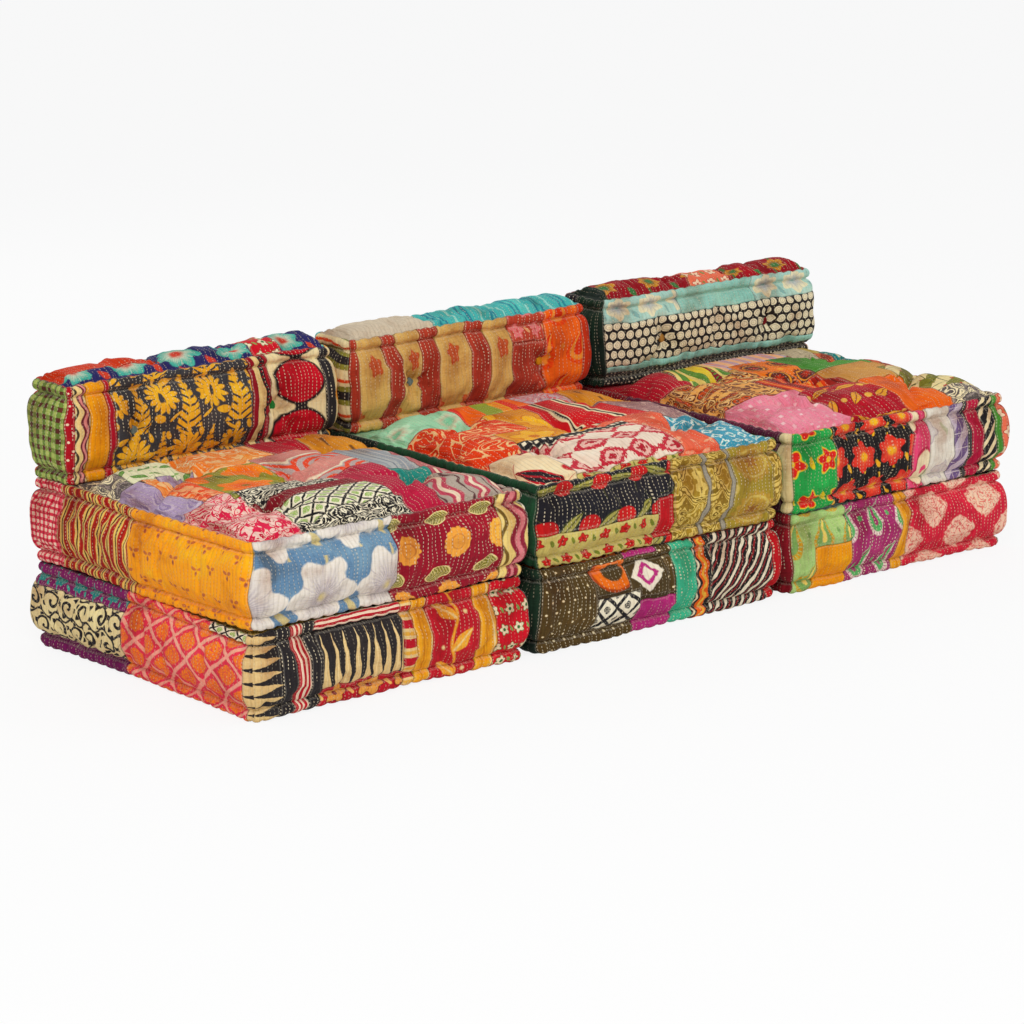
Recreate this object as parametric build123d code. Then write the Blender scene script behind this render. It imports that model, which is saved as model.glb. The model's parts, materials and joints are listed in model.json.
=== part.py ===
from build123d import *
import math
import os

# Modular sofa bed, in millimetres. Three modules stand side by side. Each is a base cushion on the
# floor, a seat cushion on it and a back cushion on the rear of the seat. The origin is on the floor
# at the middle of the row. X runs along the row to the right, -Y is the front and Z is up.
# Every cushion is a quilted patchwork cover with rolled edges, a cotton filling, tuft buttons and
# the twine that pulls them in.

# Cover and fits
CLOTH = 3.0  # thickness of the quilted cover
FILL_FIT = 0.5  # between cover and filling
REST_FIT = 0.3  # under a cushion, and between a button and the cloth that it sits on
SIDE_FIT = 0.6  # between modules that stand side by side
CUT_OVERRUN = 5.0  # how far a cut runs past the face that it opens

# Rolled edge: a tight roll along each long edge, marked off by a stitched groove
ROLL_HEIGHT = 22.0
ROLL_SETBACK = 14.0  # the roll's crest stands this far inside the belly of the side
GROOVE_SETBACK = 23.0  # the stitched groove, and the roll's foot
SIDE_DRAW_IN = 5.0  # the rolls are drawn in between the corners
CORNER_RADIUS = 44.0
CROWN_SETBACK = GROOVE_SETBACK + SIDE_DRAW_IN  # a crown starts inside the rolls

# Floor cushion, used for bases and seats
CUSHION_WIDTH = 650.0  # over the bellies
CUSHION_DEPTH = 710.0
CUSHION_HEIGHT = 160.0  # from roll to roll
SEAT_CROWN = 26.0
SEAT_CROWN_SLOPE = 125.0

# Back cushion, as wide as the seat that it stands on
BACK_DEPTH = 150.0
BACK_HEIGHT = 186.0
BACK_CROWN = 12.0
BACK_CROWN_SLOPE = 26.0

# Tufts: radius and depth of the hollow that each kind of button pulls in
SEAT_HOLLOW_RADIUS = 84.0
SEAT_HOLLOW_DEPTH = 30.0
BASE_HOLLOW_RADIUS = 44.0
BASE_HOLLOW_DEPTH = 13.0
FACE_HOLLOW_RADIUS = 52.0
FACE_HOLLOW_DEPTH = 22.0
TOP_HOLLOW_RADIUS = 34.0
TOP_HOLLOW_DEPTH = 15.0
BUTTON_RADIUS = 9.0
BUTTON_HEIGHT = 7.0
BUTTON_CROWN_SHARE = 0.6
BUTTON_ROOM = 2.0  # around a button, at the floor of its hollow
TWINE_RADIUS = 1.5
TWINE_FIT = 0.4
KNOT_RADIUS = 4.0
KNOT_HEIGHT = 1.2

# How finely small round forms are made
CORNER_STEPS = 4
INNER_CORNER_STEPS = 1
ROLL_STEPS = 2
BELLY_STEPS = 4
CROWN_STEPS = 3
HOLLOW_SIDES = 9
SHOULDER_STEPS = 3
BUTTON_SIDES = 6
TWINE_SIDES = 5

# Where the tufts are, as shares of a cushion's width and depth from its front left corner
SEAT_TUFT_SHARES = ((0.25, 0.22), (0.75, 0.22), (0.50, 0.40), (0.27, 0.59), (0.76, 0.59))
BACK_TOP_TUFT_SHARES = ((0.38, 0.5), (0.64, 0.5))
# Shares of the back cushion's width and height, for the two buttons of each module
BACK_FACE_TUFT_SHARES = {
    "left": ((0.26, 0.46), (0.75, 0.46)),
    "middle": ((0.27, 0.46), (0.78, 0.46)),
    "right": ((0.30, 0.46), (0.76, 0.46)),
}
MODULE_PLACES = {"left": -1, "middle": 0, "right": 1}


def outline(width, depth, corner, draw_in, flats, height):
    """Points of a ring at a height, with each corner rounded by a few flats.

    Each side is drawn in at its middle. Rings that keep the corners' centres stay parallel."""
    x, y = width / 2 - corner, depth / 2 - corner
    waists = (depth / 2 - draw_in, width / 2 - draw_in)
    points = []
    for quarter, (sx, sy) in enumerate(((1, 1), (-1, 1), (-1, -1), (1, -1))):
        for step in range(flats + 1):
            turn = math.radians(90 * (quarter + step / flats))
            points.append((sx * x + corner * math.cos(turn), sy * y + corner * math.sin(turn), height))
        if draw_in:
            turn = math.radians(90 * (quarter + 1))
            waist = waists[quarter % 2]
            points.append((waist * math.cos(turn), waist * math.sin(turn), height))
    return points


def flat_sided(rings):
    """A closed solid through rings of as many points each, with a flat face between each pair."""
    faces = [Face(Wire.make_polygon(rings[0])), Face(Wire.make_polygon(rings[-1]))]
    for low, high in zip(rings, rings[1:]):
        for i in range(len(low)):
            j = (i + 1) % len(low)
            faces.append(Face(Wire.make_polygon([low[i], low[j], high[j], high[i]])))
    return Solid(Shell(faces))


def set_back(width, depth, setback, draw_in, flats, height):
    """The cushion's outline at a height, set back by as much all round."""
    corner = CORNER_RADIUS - setback
    return outline(width - 2 * setback, depth - 2 * setback, corner, draw_in, flats, height)


def outer_box(width, depth, height):
    """The cover's outside up to its top: a roll, the belly of the side, and a roll again."""
    roll = []
    for step in range(ROLL_STEPS):
        turn = math.pi * step / ROLL_STEPS
        out = (GROOVE_SETBACK - ROLL_SETBACK) * math.sin(turn)
        roll.append((GROOVE_SETBACK - out, ROLL_HEIGHT / 2 * (1 - math.cos(turn))))
    belly = []
    for step in range(BELLY_STEPS + 1):
        share = step / BELLY_STEPS
        rise = (height - 2 * ROLL_HEIGHT) * share
        belly.append((GROOVE_SETBACK * (1 - math.sin(math.pi * share)), ROLL_HEIGHT + rise))
    rings = roll + belly + [(setback, height - z) for setback, z in roll[::-1]]
    return flat_sided(
        [set_back(width, depth, s, SIDE_DRAW_IN, CORNER_STEPS, z) for s, z in rings]
    )


def inner_box(width, depth, height, inside):
    """The space within the cover, or the filling in it, up to its top."""
    belly = SIDE_DRAW_IN + inside
    deep = GROOVE_SETBACK + belly
    rings = [
        (deep, inside),
        (deep, ROLL_HEIGHT),
        (belly, height / 2),
        (deep, height - ROLL_HEIGHT),
        (deep, height - inside),
    ]
    return flat_sided([set_back(width, depth, s, 0, INNER_CORNER_STEPS, z) for s, z in rings])


def crown(width, depth, base, rise, slope, inside):
    """A dome over a top panel: a steep skirt, then a gentler one up to a level top.

    inside is how far the dome lies within the cover's outside, zero for the outside itself."""
    steps = [(0, -CUT_OVERRUN), (0, 0)]
    for step in range(1, CROWN_STEPS + 1):
        turn = math.pi / 2 * step / CROWN_STEPS
        steps.append((slope * step / CROWN_STEPS, rise * math.sin(turn)))
    flats = INNER_CORNER_STEPS if inside else CORNER_STEPS
    corner = CORNER_RADIUS - CROWN_SETBACK - CLOTH - FILL_FIT
    rings = []
    for setback, up in steps:
        w, d = width - 2 * (setback + inside), depth - 2 * (setback + inside)
        rings.append(outline(w, d, corner, 0, flats, base + up - inside))
    return flat_sided(rings)


def regular_ring(radius, sides, height):
    """Points of a regular ring at a height, whose sides lie at the radius."""
    corner = radius / math.cos(math.pi / sides)
    turns = [2 * math.pi * i / sides for i in range(sides)]
    return [(corner * math.cos(turn), corner * math.sin(turn), height) for turn in turns]


def flat_rod(low_radius, high_radius, length, sides):
    """A rod from the origin up, straight or tapered."""
    return flat_sided([regular_ring(low_radius, sides, 0), regular_ring(high_radius, sides, length)])


def round_hollow(radius, depth):
    """Cutter for a tuft that shows: shoulders like pillows, from the origin down to the button."""
    floor_radius = BUTTON_RADIUS + BUTTON_ROOM
    run = radius - floor_radius
    bow = (run**2 + depth**2) / (2 * depth)
    whole = math.asin(run / bow)
    levels = [(floor_radius, -depth)]
    for step in range(SHOULDER_STEPS - 1, -1, -1):
        turn = whole * step / SHOULDER_STEPS
        levels.append((radius - bow * math.sin(turn), bow * math.cos(turn) - bow))
    levels.append((radius, CUT_OVERRUN))
    return flat_sided([regular_ring(r, HOLLOW_SIDES, z) for r, z in levels])


def plain_hollow(radius, depth, inside):
    """Cutter for a tuft that is hidden, or for the inner side of any tuft."""
    floor_radius = BUTTON_RADIUS + BUTTON_ROOM + inside
    spread = (radius + inside - floor_radius) / depth
    length = depth + CUT_OVERRUN
    cutter = flat_rod(floor_radius, floor_radius + spread * length, length, BUTTON_SIDES)
    return Pos(0, 0, -depth - inside) * cutter


def tuft(frame, radius, depth, shows):
    """One tuft: where it is, its hollow, and whether it shows."""
    return {"frame": frame, "radius": radius, "depth": depth, "shows": shows}


def up_frames(width, depth, height, shares):
    """Frames on a level top, that look up, at shares of its width and depth."""
    return [Location((width * (u - 0.5), depth * (v - 0.5), height)) for u, v in shares]


def face_frames(width, depth, height, shares, sign):
    """Frames on the front (sign -1) or rear (sign 1) face that look out of it."""
    return [
        Plane(
            origin=(width * (u - 0.5), sign * depth / 2, height * v),
            x_dir=(1, 0, 0),
            z_dir=(0, sign, 0),
        ).location
        for u, v in shares
    ]


def button(place):
    """A small domed button that rests on the floor of a tuft's hollow."""
    waist = BUTTON_HEIGHT / 2
    low = flat_rod(BUTTON_RADIUS, BUTTON_RADIUS, waist, BUTTON_SIDES)
    dome = flat_rod(BUTTON_RADIUS, BUTTON_RADIUS * BUTTON_CROWN_SHARE, waist, BUTTON_SIDES)
    shape = low + Pos(0, 0, waist) * dome
    return place["frame"] * Pos(0, 0, REST_FIT - place["depth"]) * shape


def knotted_twine(frame, length, grow):
    """Twine from a knot in the bottom cloth up to the button, or with grow the room for it."""
    extra = CUT_OVERRUN if grow else 0
    knot_radius, radius = KNOT_RADIUS + grow, TWINE_RADIUS + grow
    knot = flat_rod(knot_radius, knot_radius, KNOT_HEIGHT + grow + extra, TWINE_SIDES)
    shaft = flat_rod(radius, radius, length + extra, TWINE_SIDES)
    return frame * Pos(0, 0, -length) * (Pos(0, 0, -extra) * knot + shaft)


def through_twine(frame, length, grow):
    """Twine from button to button through a cushion, or with grow the room for it."""
    extra = CUT_OVERRUN if grow else 0
    radius = TWINE_RADIUS + grow
    shaft = flat_rod(radius, radius, length + 2 * extra, TWINE_SIDES)
    return frame * Pos(0, 0, -length - extra) * shaft


def cushion(outside, inside_at, tufts, knotted, through):
    """The four pieces of one cushion.

    outside is the cover's outer form, and inside_at gives the form at a distance within it.
    knotted and through hold the frame and length of each twine."""
    cover = outside
    space = inside_at(CLOTH)
    filling = inside_at(CLOTH + FILL_FIT)
    for place in tufts:
        frame, radius, depth = place["frame"], place["radius"], place["depth"]
        hollow = round_hollow(radius, depth) if place["shows"] else plain_hollow(radius, depth, 0)
        cover -= frame * hollow
        space -= frame * plain_hollow(radius, depth, CLOTH)
        filling -= frame * plain_hollow(radius, depth, CLOTH + FILL_FIT)
    cover -= space
    twines = []
    for frame, length in knotted:
        room = knotted_twine(frame, length, TWINE_FIT)
        cover -= room
        filling -= room
        twines.append(knotted_twine(frame, length, 0))
    for frame, length in through:
        room = through_twine(frame, length, TWINE_FIT)
        cover -= room
        filling -= room
        twines.append(through_twine(frame, length, 0))
    return {
        "cover": cover,
        "filling": filling,
        "tuft_buttons": Compound([button(place).solid() for place in tufts]),
        "tufting_twine": Compound([twine.solid() for twine in twines]),
    }


def base_cushion():
    """A floor cushion pressed flat by the seat on it, with five shallow tufts."""
    size = (CUSHION_WIDTH, CUSHION_DEPTH, CUSHION_HEIGHT)
    frames = up_frames(*size, SEAT_TUFT_SHARES)
    tufts = [tuft(frame, BASE_HOLLOW_RADIUS, BASE_HOLLOW_DEPTH, False) for frame in frames]
    length = CUSHION_HEIGHT - BASE_HOLLOW_DEPTH - REST_FIT
    knotted = [(frame * Pos(0, 0, -BASE_HOLLOW_DEPTH), length) for frame in frames]
    return cushion(outer_box(*size), lambda inside: inner_box(*size, inside), tufts, knotted, [])


def seat_cushion():
    """A floor cushion with a crown in front of the strip that the back stands on."""
    size = (CUSHION_WIDTH, CUSHION_DEPTH, CUSHION_HEIGHT)
    crown_width = CUSHION_WIDTH - 2 * CROWN_SETBACK
    crown_front = CROWN_SETBACK - CUSHION_DEPTH / 2
    crown_rear = CUSHION_DEPTH / 2 - BACK_DEPTH
    crown_depth = crown_rear - crown_front
    place = Pos(0, (crown_front + crown_rear) / 2, 0)

    def dome(inside):
        sizes = (crown_width, crown_depth, CUSHION_HEIGHT, SEAT_CROWN, SEAT_CROWN_SLOPE)
        return place * crown(*sizes, inside)

    frames = up_frames(CUSHION_WIDTH, CUSHION_DEPTH, CUSHION_HEIGHT + SEAT_CROWN, SEAT_TUFT_SHARES)
    tufts = [tuft(frame, SEAT_HOLLOW_RADIUS, SEAT_HOLLOW_DEPTH, True) for frame in frames]
    length = CUSHION_HEIGHT + SEAT_CROWN - SEAT_HOLLOW_DEPTH - REST_FIT
    knotted = [(frame * Pos(0, 0, -SEAT_HOLLOW_DEPTH), length) for frame in frames]
    outside = outer_box(*size) + dome(0)
    return cushion(
        outside, lambda inside: inner_box(*size, inside) + dome(inside), tufts, knotted, []
    )


def back_cushion(face_shares):
    """A bolster with two buttons on its front, two on its rear and two tufts on its top."""
    size = (CUSHION_WIDTH, BACK_DEPTH, BACK_HEIGHT)
    crown_size = (CUSHION_WIDTH - 2 * CROWN_SETBACK, BACK_DEPTH - 2 * CROWN_SETBACK)

    def dome(inside):
        return crown(*crown_size, BACK_HEIGHT, BACK_CROWN, BACK_CROWN_SLOPE, inside)

    tops = up_frames(CUSHION_WIDTH, BACK_DEPTH, BACK_HEIGHT + BACK_CROWN, BACK_TOP_TUFT_SHARES)
    fronts = face_frames(*size, face_shares, -1)
    rears = face_frames(*size, face_shares, 1)
    tufts = [tuft(frame, TOP_HOLLOW_RADIUS, TOP_HOLLOW_DEPTH, True) for frame in tops]
    tufts += [tuft(frame, FACE_HOLLOW_RADIUS, FACE_HOLLOW_DEPTH, True) for frame in fronts + rears]
    drop = Pos(0, 0, -TOP_HOLLOW_DEPTH)
    upright = BACK_HEIGHT + BACK_CROWN - TOP_HOLLOW_DEPTH - REST_FIT
    knotted = [(frame * drop, upright) for frame in tops]
    level = BACK_DEPTH - 2 * FACE_HOLLOW_DEPTH
    through = [(frame * Pos(0, 0, -FACE_HOLLOW_DEPTH), level) for frame in fronts]
    outside = outer_box(*size) + dome(0)
    return cushion(
        outside, lambda inside: inner_box(*size, inside) + dome(inside), tufts, knotted, through
    )


os.makedirs("parts", exist_ok=True)
seat_level = CUSHION_HEIGHT + REST_FIT
back_level = seat_level + CUSHION_HEIGHT + REST_FIT
back_place = (CUSHION_DEPTH - BACK_DEPTH) / 2
base_pieces = base_cushion()
seat_pieces = seat_cushion()
for side, place in MODULE_PLACES.items():
    x = place * (CUSHION_WIDTH + SIDE_FIT)
    module = {
        "base": (base_pieces, Pos(x, 0, 0)),
        "seat": (seat_pieces, Pos(x, 0, seat_level)),
        "back": (back_cushion(BACK_FACE_TUFT_SHARES[side]), Pos(x, back_place, back_level)),
    }
    for kind, (pieces, position) in module.items():
        for piece, shape in pieces.items():
            export_step(position * shape, f"parts/{kind}_{side}_{piece}.step")
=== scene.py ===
"""Dresses a modular sofa bed: nine loose patchwork cushions with rolled edges, tufts and quilting.

Each cushion is a top panel, a bottom panel and a boxing band. A panel is a net of lines laid on the flat
cloth, in metres, which is then shaped over the filling. Patches meet on the net's lines, and a patch's cloth
is a material whose motif is drawn by formulas in the cloth's own coordinates.
"""

import json
import logging
import math
from dataclasses import dataclass
from enum import Enum, member
from functools import partial, reduce
from typing import Callable, Sequence, Union

import bmesh
import bpy
import numpy as np
from mathutils import Matrix, Vector

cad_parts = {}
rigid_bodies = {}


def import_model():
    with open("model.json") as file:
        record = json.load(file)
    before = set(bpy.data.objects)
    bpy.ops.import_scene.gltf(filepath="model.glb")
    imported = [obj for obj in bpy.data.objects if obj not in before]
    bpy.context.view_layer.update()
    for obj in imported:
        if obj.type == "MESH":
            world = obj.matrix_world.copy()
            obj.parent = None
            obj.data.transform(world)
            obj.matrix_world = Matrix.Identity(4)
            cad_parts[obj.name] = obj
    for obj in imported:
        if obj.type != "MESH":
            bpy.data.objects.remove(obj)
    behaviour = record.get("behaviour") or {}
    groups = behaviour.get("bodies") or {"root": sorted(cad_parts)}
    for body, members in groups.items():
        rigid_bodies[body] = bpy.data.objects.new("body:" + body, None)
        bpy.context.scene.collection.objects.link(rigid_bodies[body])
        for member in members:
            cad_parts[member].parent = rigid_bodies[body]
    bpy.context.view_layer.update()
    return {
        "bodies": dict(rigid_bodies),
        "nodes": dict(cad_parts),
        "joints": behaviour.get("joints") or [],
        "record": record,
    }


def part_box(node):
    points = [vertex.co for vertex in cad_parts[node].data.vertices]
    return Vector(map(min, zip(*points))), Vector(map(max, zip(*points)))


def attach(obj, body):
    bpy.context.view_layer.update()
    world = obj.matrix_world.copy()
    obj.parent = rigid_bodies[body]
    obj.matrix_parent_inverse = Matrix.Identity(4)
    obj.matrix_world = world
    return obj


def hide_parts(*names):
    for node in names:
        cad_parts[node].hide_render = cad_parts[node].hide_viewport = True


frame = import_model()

log = logging.getLogger("sofa")
logging.basicConfig(level=logging.INFO, format="%(message)s")

Number = Union[float, "Value"]
Colour = Union[str, "Value"]
Array = np.ndarray
Draws = np.random.Generator
Piece = bpy.types.Object

CLOTH_MAP = "cloth"
BAKE_MAP = "OFBake"
SEAM = "seam"

NET_SPACING = 0.005  # between the lines of a cover's net
PUFF_SPACING = 0.012  # between the lines of the net that is blown up
PUFF_FRAMES = 20
PUFF_BELLY_ROWS = 11
BLOWN_CLOTH = {
    "quality": 5,
    "mass": 0.3,
    "tension_stiffness": 15.0,
    "compression_stiffness": 15.0,
    "shear_stiffness": 5.0,
    "bending_stiffness": 0.3,
    "air_damping": 5,
    "use_pressure": True,
    "uniform_pressure_force": 4.0,
}
BAND_GROWTH = 0.05
TOP_GROWTH = 0.06
BAND_CAP = 0.009  # how far the simulation may move the cloth
TOP_CAP = 0.014

ROLL_HEIGHT = 0.022
ROLL_RADIUS = 0.011
ROLL_END = 75.0  # degrees past level where a roll meets its groove
ROLL_ROWS = 8
BELLY_ROWS = 26
CREST_SETBACK = 0.0225
GROOVE_SETBACK = 0.0200
BELLY = 0.0180  # how far the belly stands out of the groove
DRAW_IN = 0.005
CORNER_RADIUS = 0.044
GROOVE_DEPTH = 0.0045  # of the stitched line beside a roll, on a panel
GROOVE_INSET = 0.009  # from the roll's crest to that line
PINCH_SPACING = 0.027
ROLL_PINCH = 0.0050
PUCKER_DEPTH = 0.0036
PUCKER_REACH = 0.016
ROLL_WANDER = 0.0030
BAND_LUMPS = (  # how deep, long and tall: pleats at the grooves, swells and creases of the belly, lumps of the rolls
    (0.0022, 0.013, 0.05),
    (0.0035, 0.085, 0.07),
    (0.0014, 0.028, 0.022),
    (0.0018, 0.09, 0.5),
)
CORNER_CREASE = 0.040  # from a vertical corner
CORNER_CREASE_DEPTH = 0.003
SEWN_REACH = 0.022
SEAM_CELLS = 4

SEAT_CROWN = 0.026
BACK_CROWN = 0.012
SEAT_CROWN_SLOPE = 0.105
BACK_CROWN_SLOPE = 0.026
BACK_DEPTH = 0.150
STRIP_FIT = 0.002
STRIP_SLOPE = 0.045
CROWN_PROUD = 0.010
SEAT_HOLLOW_RADIUS = 0.080
SEAT_HOLLOW_DEPTH = 0.037
BASE_HOLLOW_RADIUS = 0.044
BASE_HOLLOW_DEPTH = 0.013
FACE_HOLLOW_RADIUS = 0.058
FACE_HOLLOW_DEPTH = 0.026
TOP_HOLLOW_RADIUS = 0.034
TOP_HOLLOW_DEPTH = 0.015
HOLLOW_REACH_SHARE = 0.42
PLEAT_SHARE = 0.3
PLEAT_DEPTH_SHARE = 0.15
BUTTON_RADIUS = 0.0095
BUTTON_HEIGHT = 0.008
BUTTON_SINK = 0.001
TWINE_COVER = 0.0045  # how far under the end of its twine a button is seated
SETTLE_REACH = 0.03  # round a button, where the cloth settles to that level
BUTTON_RINGS = 9
BUTTON_SIDES = 24

COTTON_GLOSS = {"Specular IOR Level": 0.15, "Sheen Weight": 0.03, "Sheen Roughness": 0.5}
FADED = "#f4ead8"
SOILED = "#b98f78"
RUBBED = "#fff4e4"  # the worn ridge beside a seam
# painted shade: the dark line laid in a sunk seam and along the rolls' grooves
SEAM_PAINTED_SHADE = "#1c110c"
SEAM_STITCHING = 0.16
# painted shade for the dips of the cloth along the rows of quilting
STITCH_DIP_PAINTED_SHADE = "#1a1210"
STITCH_SPACING = 0.0095  # between the rows of quilting
STITCH_WIDTH = 0.00066  # half of the thread's width
STITCH_RELIEF = 0.0004
PUFF_RELIEF = 0.0010
WEAVE_RELIEF = 0.00012
CRUMPLE_RELIEF = 0.0016
PRINT_RELIEF = 0.0002
PRINT_DRIFT = 0.004
# width of the line of painted shade in a seam
SEAM_LINE = 0.0015
SEAM_RIDGE = 0.0032
SEAM_RELIEF = 0.0010
SEAM_GROOVE = 0.0016  # how deep a sewn seam lies in the padding
SEAM_GROOVE_REACH = 0.0034
DRAWN_FAR = 0.013  # how far the filling draws seams off their straight lines
DRAWN_NEAR = 0.004
TWINE_LAY = 0.004
TWINE_RELIEF = 0.0003
# painted shade in the troughs between the twine's strands
TWINE_PAINTED_TROUGH_SHADE = "#8f7c5c"
TWINE_PALE = "#dccfae"

SEAT_TUFT_SHARES = ((0.25, 0.22), (0.75, 0.22), (0.50, 0.40), (0.27, 0.59), (0.76, 0.59))
BACK_TOP_TUFT_SHARES = ((0.38, 0.5), (0.64, 0.5))
BACK_FACE_TUFT_SHARES = {
    "left": ((0.26, 0.46), (0.75, 0.46)),
    "middle": ((0.27, 0.46), (0.78, 0.46)),
    "right": ((0.30, 0.46), (0.76, 0.46)),
}

WHITE = "#ffffff"
SKY_COLOUR = "#f4f6fa"
SKY_STRENGTH = 0.68
FLOOR_COLOUR = "#f2f1ee"
FLOOR_SHADE = "#eeedea"
FLOOR_LIFT = 0.86
LAMPS = {  # place, side and power of each
    "key": ((-3.2, -3.4, 3.6), 2.2, 104.0),
    "fill": ((3.6, -3.0, 2.2), 2.5, 34.0),
    "rear": ((0.6, 3.6, 2.8), 2.5, 28.0),
}


def linear(code: str) -> tuple[float, float, float, float]:
    """A colour written as hex digits, as the linear values that a shader takes.

    Args:
        code: Six hex digits for red, green and blue, with or without a leading hash.

    Returns:
        Linear red, green, blue and an alpha of one.
    """
    parts = [int(code.lstrip("#")[i : i + 2], 16) / 255 for i in (0, 2, 4)]
    return (*(c / 12.92 if c <= 0.04045 else ((c + 0.055) / 1.055) ** 2.4 for c in parts), 1.0)


class Value:
    """A number or colour that changes over a surface: the output of a node."""

    def __init__(self, net: "Net", socket: bpy.types.NodeSocket) -> None:
        """Holds the node's output and the net that it is part of."""
        self.net = net
        self.socket = socket

    def __add__(self, other: Number) -> "Value":
        """This plus another."""
        return self.net.math("ADD", self, other)

    __radd__ = __add__

    def __sub__(self, other: Number) -> "Value":
        """This less another."""
        return self.net.math("SUBTRACT", self, other)

    def __rsub__(self, other: Number) -> "Value":
        """Another less this."""
        return self.net.math("SUBTRACT", other, self)

    def __mul__(self, other: Number) -> "Value":
        """This times another."""
        return self.net.math("MULTIPLY", self, other)

    __rmul__ = __mul__

    def __truediv__(self, other: Number) -> "Value":
        """This over another."""
        return self.net.math("DIVIDE", self, other)

    def __abs__(self) -> "Value":
        """This without its sign."""
        return self.net.math("ABSOLUTE", self)


class Net:
    """Lays nodes in a tree from formulas."""

    def __init__(self, tree: bpy.types.NodeTree) -> None:
        """Starts on a tree."""
        self.tree = tree

    def feed(self, socket: bpy.types.NodeSocket, value: object) -> None:
        """Links a value to a socket, or sets the socket's own value."""
        if isinstance(value, Value):
            self.tree.links.new(value.socket, socket)
        elif isinstance(value, str):
            socket.default_value = linear(value)
        else:
            socket.default_value = value

    def node(self, kind: str, inputs: dict, **settings: object) -> bpy.types.Node:
        """Adds a node.

        Args:
            kind: Blender's name for the type of node.
            inputs: What goes into each socket, by name or number.
            settings: Properties of the node itself.

        Returns:
            The node.
        """
        node = self.tree.nodes.new(kind)
        for name, value in settings.items():
            setattr(node, name, value)
        for key, value in inputs.items():
            self.feed(node.inputs[key], value)
        return node

    def group(self, tree: bpy.types.NodeTree, inputs: dict[str, object]) -> bpy.types.Node:
        """Places a shared effect, with the values that go into it."""
        return self.node("ShaderNodeGroup", inputs, node_tree=tree)

    def out(self, node: bpy.types.Node, key: Union[int, str] = 0) -> Value:
        """One output of a node."""
        return Value(self, node.outputs[key])

    def math(self, operation: str, *values: Number) -> Value:
        """A sum, product or other operation on numbers."""
        return self.out(self.node("ShaderNodeMath", dict(enumerate(values)), operation=operation))

    def sin(self, x: Number) -> Value:
        """Sine of a whole turn times x."""
        return self.math("SINE", self.math("MULTIPLY", x, math.tau))

    def floor(self, x: Number) -> Value:
        """Whole part of x."""
        return self.math("FLOOR", x)

    def fract(self, x: Number) -> Value:
        """What is left of x past its whole part."""
        return self.math("FRACT", x)

    def fold(self, x: Number) -> Value:
        """How far x is from the middle between two whole numbers."""
        return abs(self.fract(x) - 0.5)

    def odd(self, row: Number) -> Value:
        """1 where a row's number is odd, and 0 where it is even."""
        return self.math("FLOORED_MODULO", row, 2.0)

    def cos(self, angle: Number) -> Value:
        """Cosine of an angle in radians."""
        return self.math("COSINE", angle)

    def angle(self, x: Number, y: Number) -> Value:
        """The angle of the point (x, y) about nought, in radians."""
        return self.math("ARCTAN2", y, x)

    def least(self, *values: Number) -> Value:
        """The smallest of some numbers."""
        return reduce(partial(self.math, "MINIMUM"), values)

    def most(self, *values: Number) -> Value:
        """The largest of some numbers."""
        return reduce(partial(self.math, "MAXIMUM"), values)

    def far(self, x: Number, y: Number) -> Value:
        """Distance of the point (x, y) from nought."""
        return self.math("SQRT", self.math("MULTIPLY_ADD", x, x, self.math("MULTIPLY", y, y)))

    def rise(self, x: Number, low: Number, high: Number) -> Value:
        """A smooth step from 0 at low to 1 at high, or down to 0 where low is the larger."""
        node = self.node(
            "ShaderNodeMapRange", {0: x, 1: low, 2: high, 3: 0.0, 4: 1.0}, interpolation_type="SMOOTHSTEP"
        )
        return self.out(node)

    def under(self, x: Number, limit: Number, soft: float = 0.02) -> Value:
        """1 where x is under a limit and 0 above it, with a soft edge."""
        return self.rise(self.math("SUBTRACT", x, limit), soft, -soft)

    def blend(self, share: Number, first: Colour, second: Colour, mode: str = "MIX") -> Value:
        """The first colour, turned into the second by a share."""
        node = self.node("ShaderNodeMix", {}, data_type="RGBA", blend_type=mode)
        for socket, value in zip((node.inputs[0], node.inputs[6], node.inputs[7]), (share, first, second)):
            self.feed(socket, value)
        return self.out(node, 2)

    def join(self, x: Number, y: Number) -> Value:
        """The vector (x, y, 0)."""
        return self.out(self.node("ShaderNodeCombineXYZ", {0: x, 1: y}))

    def split(self, vector: Value) -> tuple[Value, Value]:
        """The first two numbers of a vector."""
        node = self.node("ShaderNodeSeparateXYZ", {0: vector})
        return self.out(node, 0), self.out(node, 1)

    def noise(self, vector: Value, scale: float, detail: float = 2.0, distortion: float = 0.0) -> Value:
        """Soft cloudy noise from 0 to 1 over a plane."""
        inputs = {"Vector": vector, "Scale": scale, "Detail": detail, "Distortion": distortion}
        return self.out(self.node("ShaderNodeTexNoise", inputs, noise_dimensions="2D"))

    def chance(self, x: Number, y: Number) -> Value:
        """A random number from 0 to 1 that is the same wherever x and y are."""
        node = self.node("ShaderNodeTexWhiteNoise", {"Vector": self.join(x, y)}, noise_dimensions="2D")
        return self.out(node, 0)

    def cell(self, x: Value, y: Value) -> tuple[Value, Value, Value]:
        """Repeats a plane in unit cells, with every other row set over by half a cell.

        Args:
            x: Place along the rows.
            y: Place across the rows.

        Returns:
            The place within the cell, from its middle, and the cell's own random number.
        """
        row = self.floor(y)
        over = x + self.odd(row) * 0.5
        return self.fract(over) - 0.5, y - row - 0.5, self.chance(self.floor(over), row)


Sockets = dict[str, Value]
SOCKETS = {"colour": "NodeSocketColor", "number": "NodeSocketFloat", "vector": "NodeSocketVector"}


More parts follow.
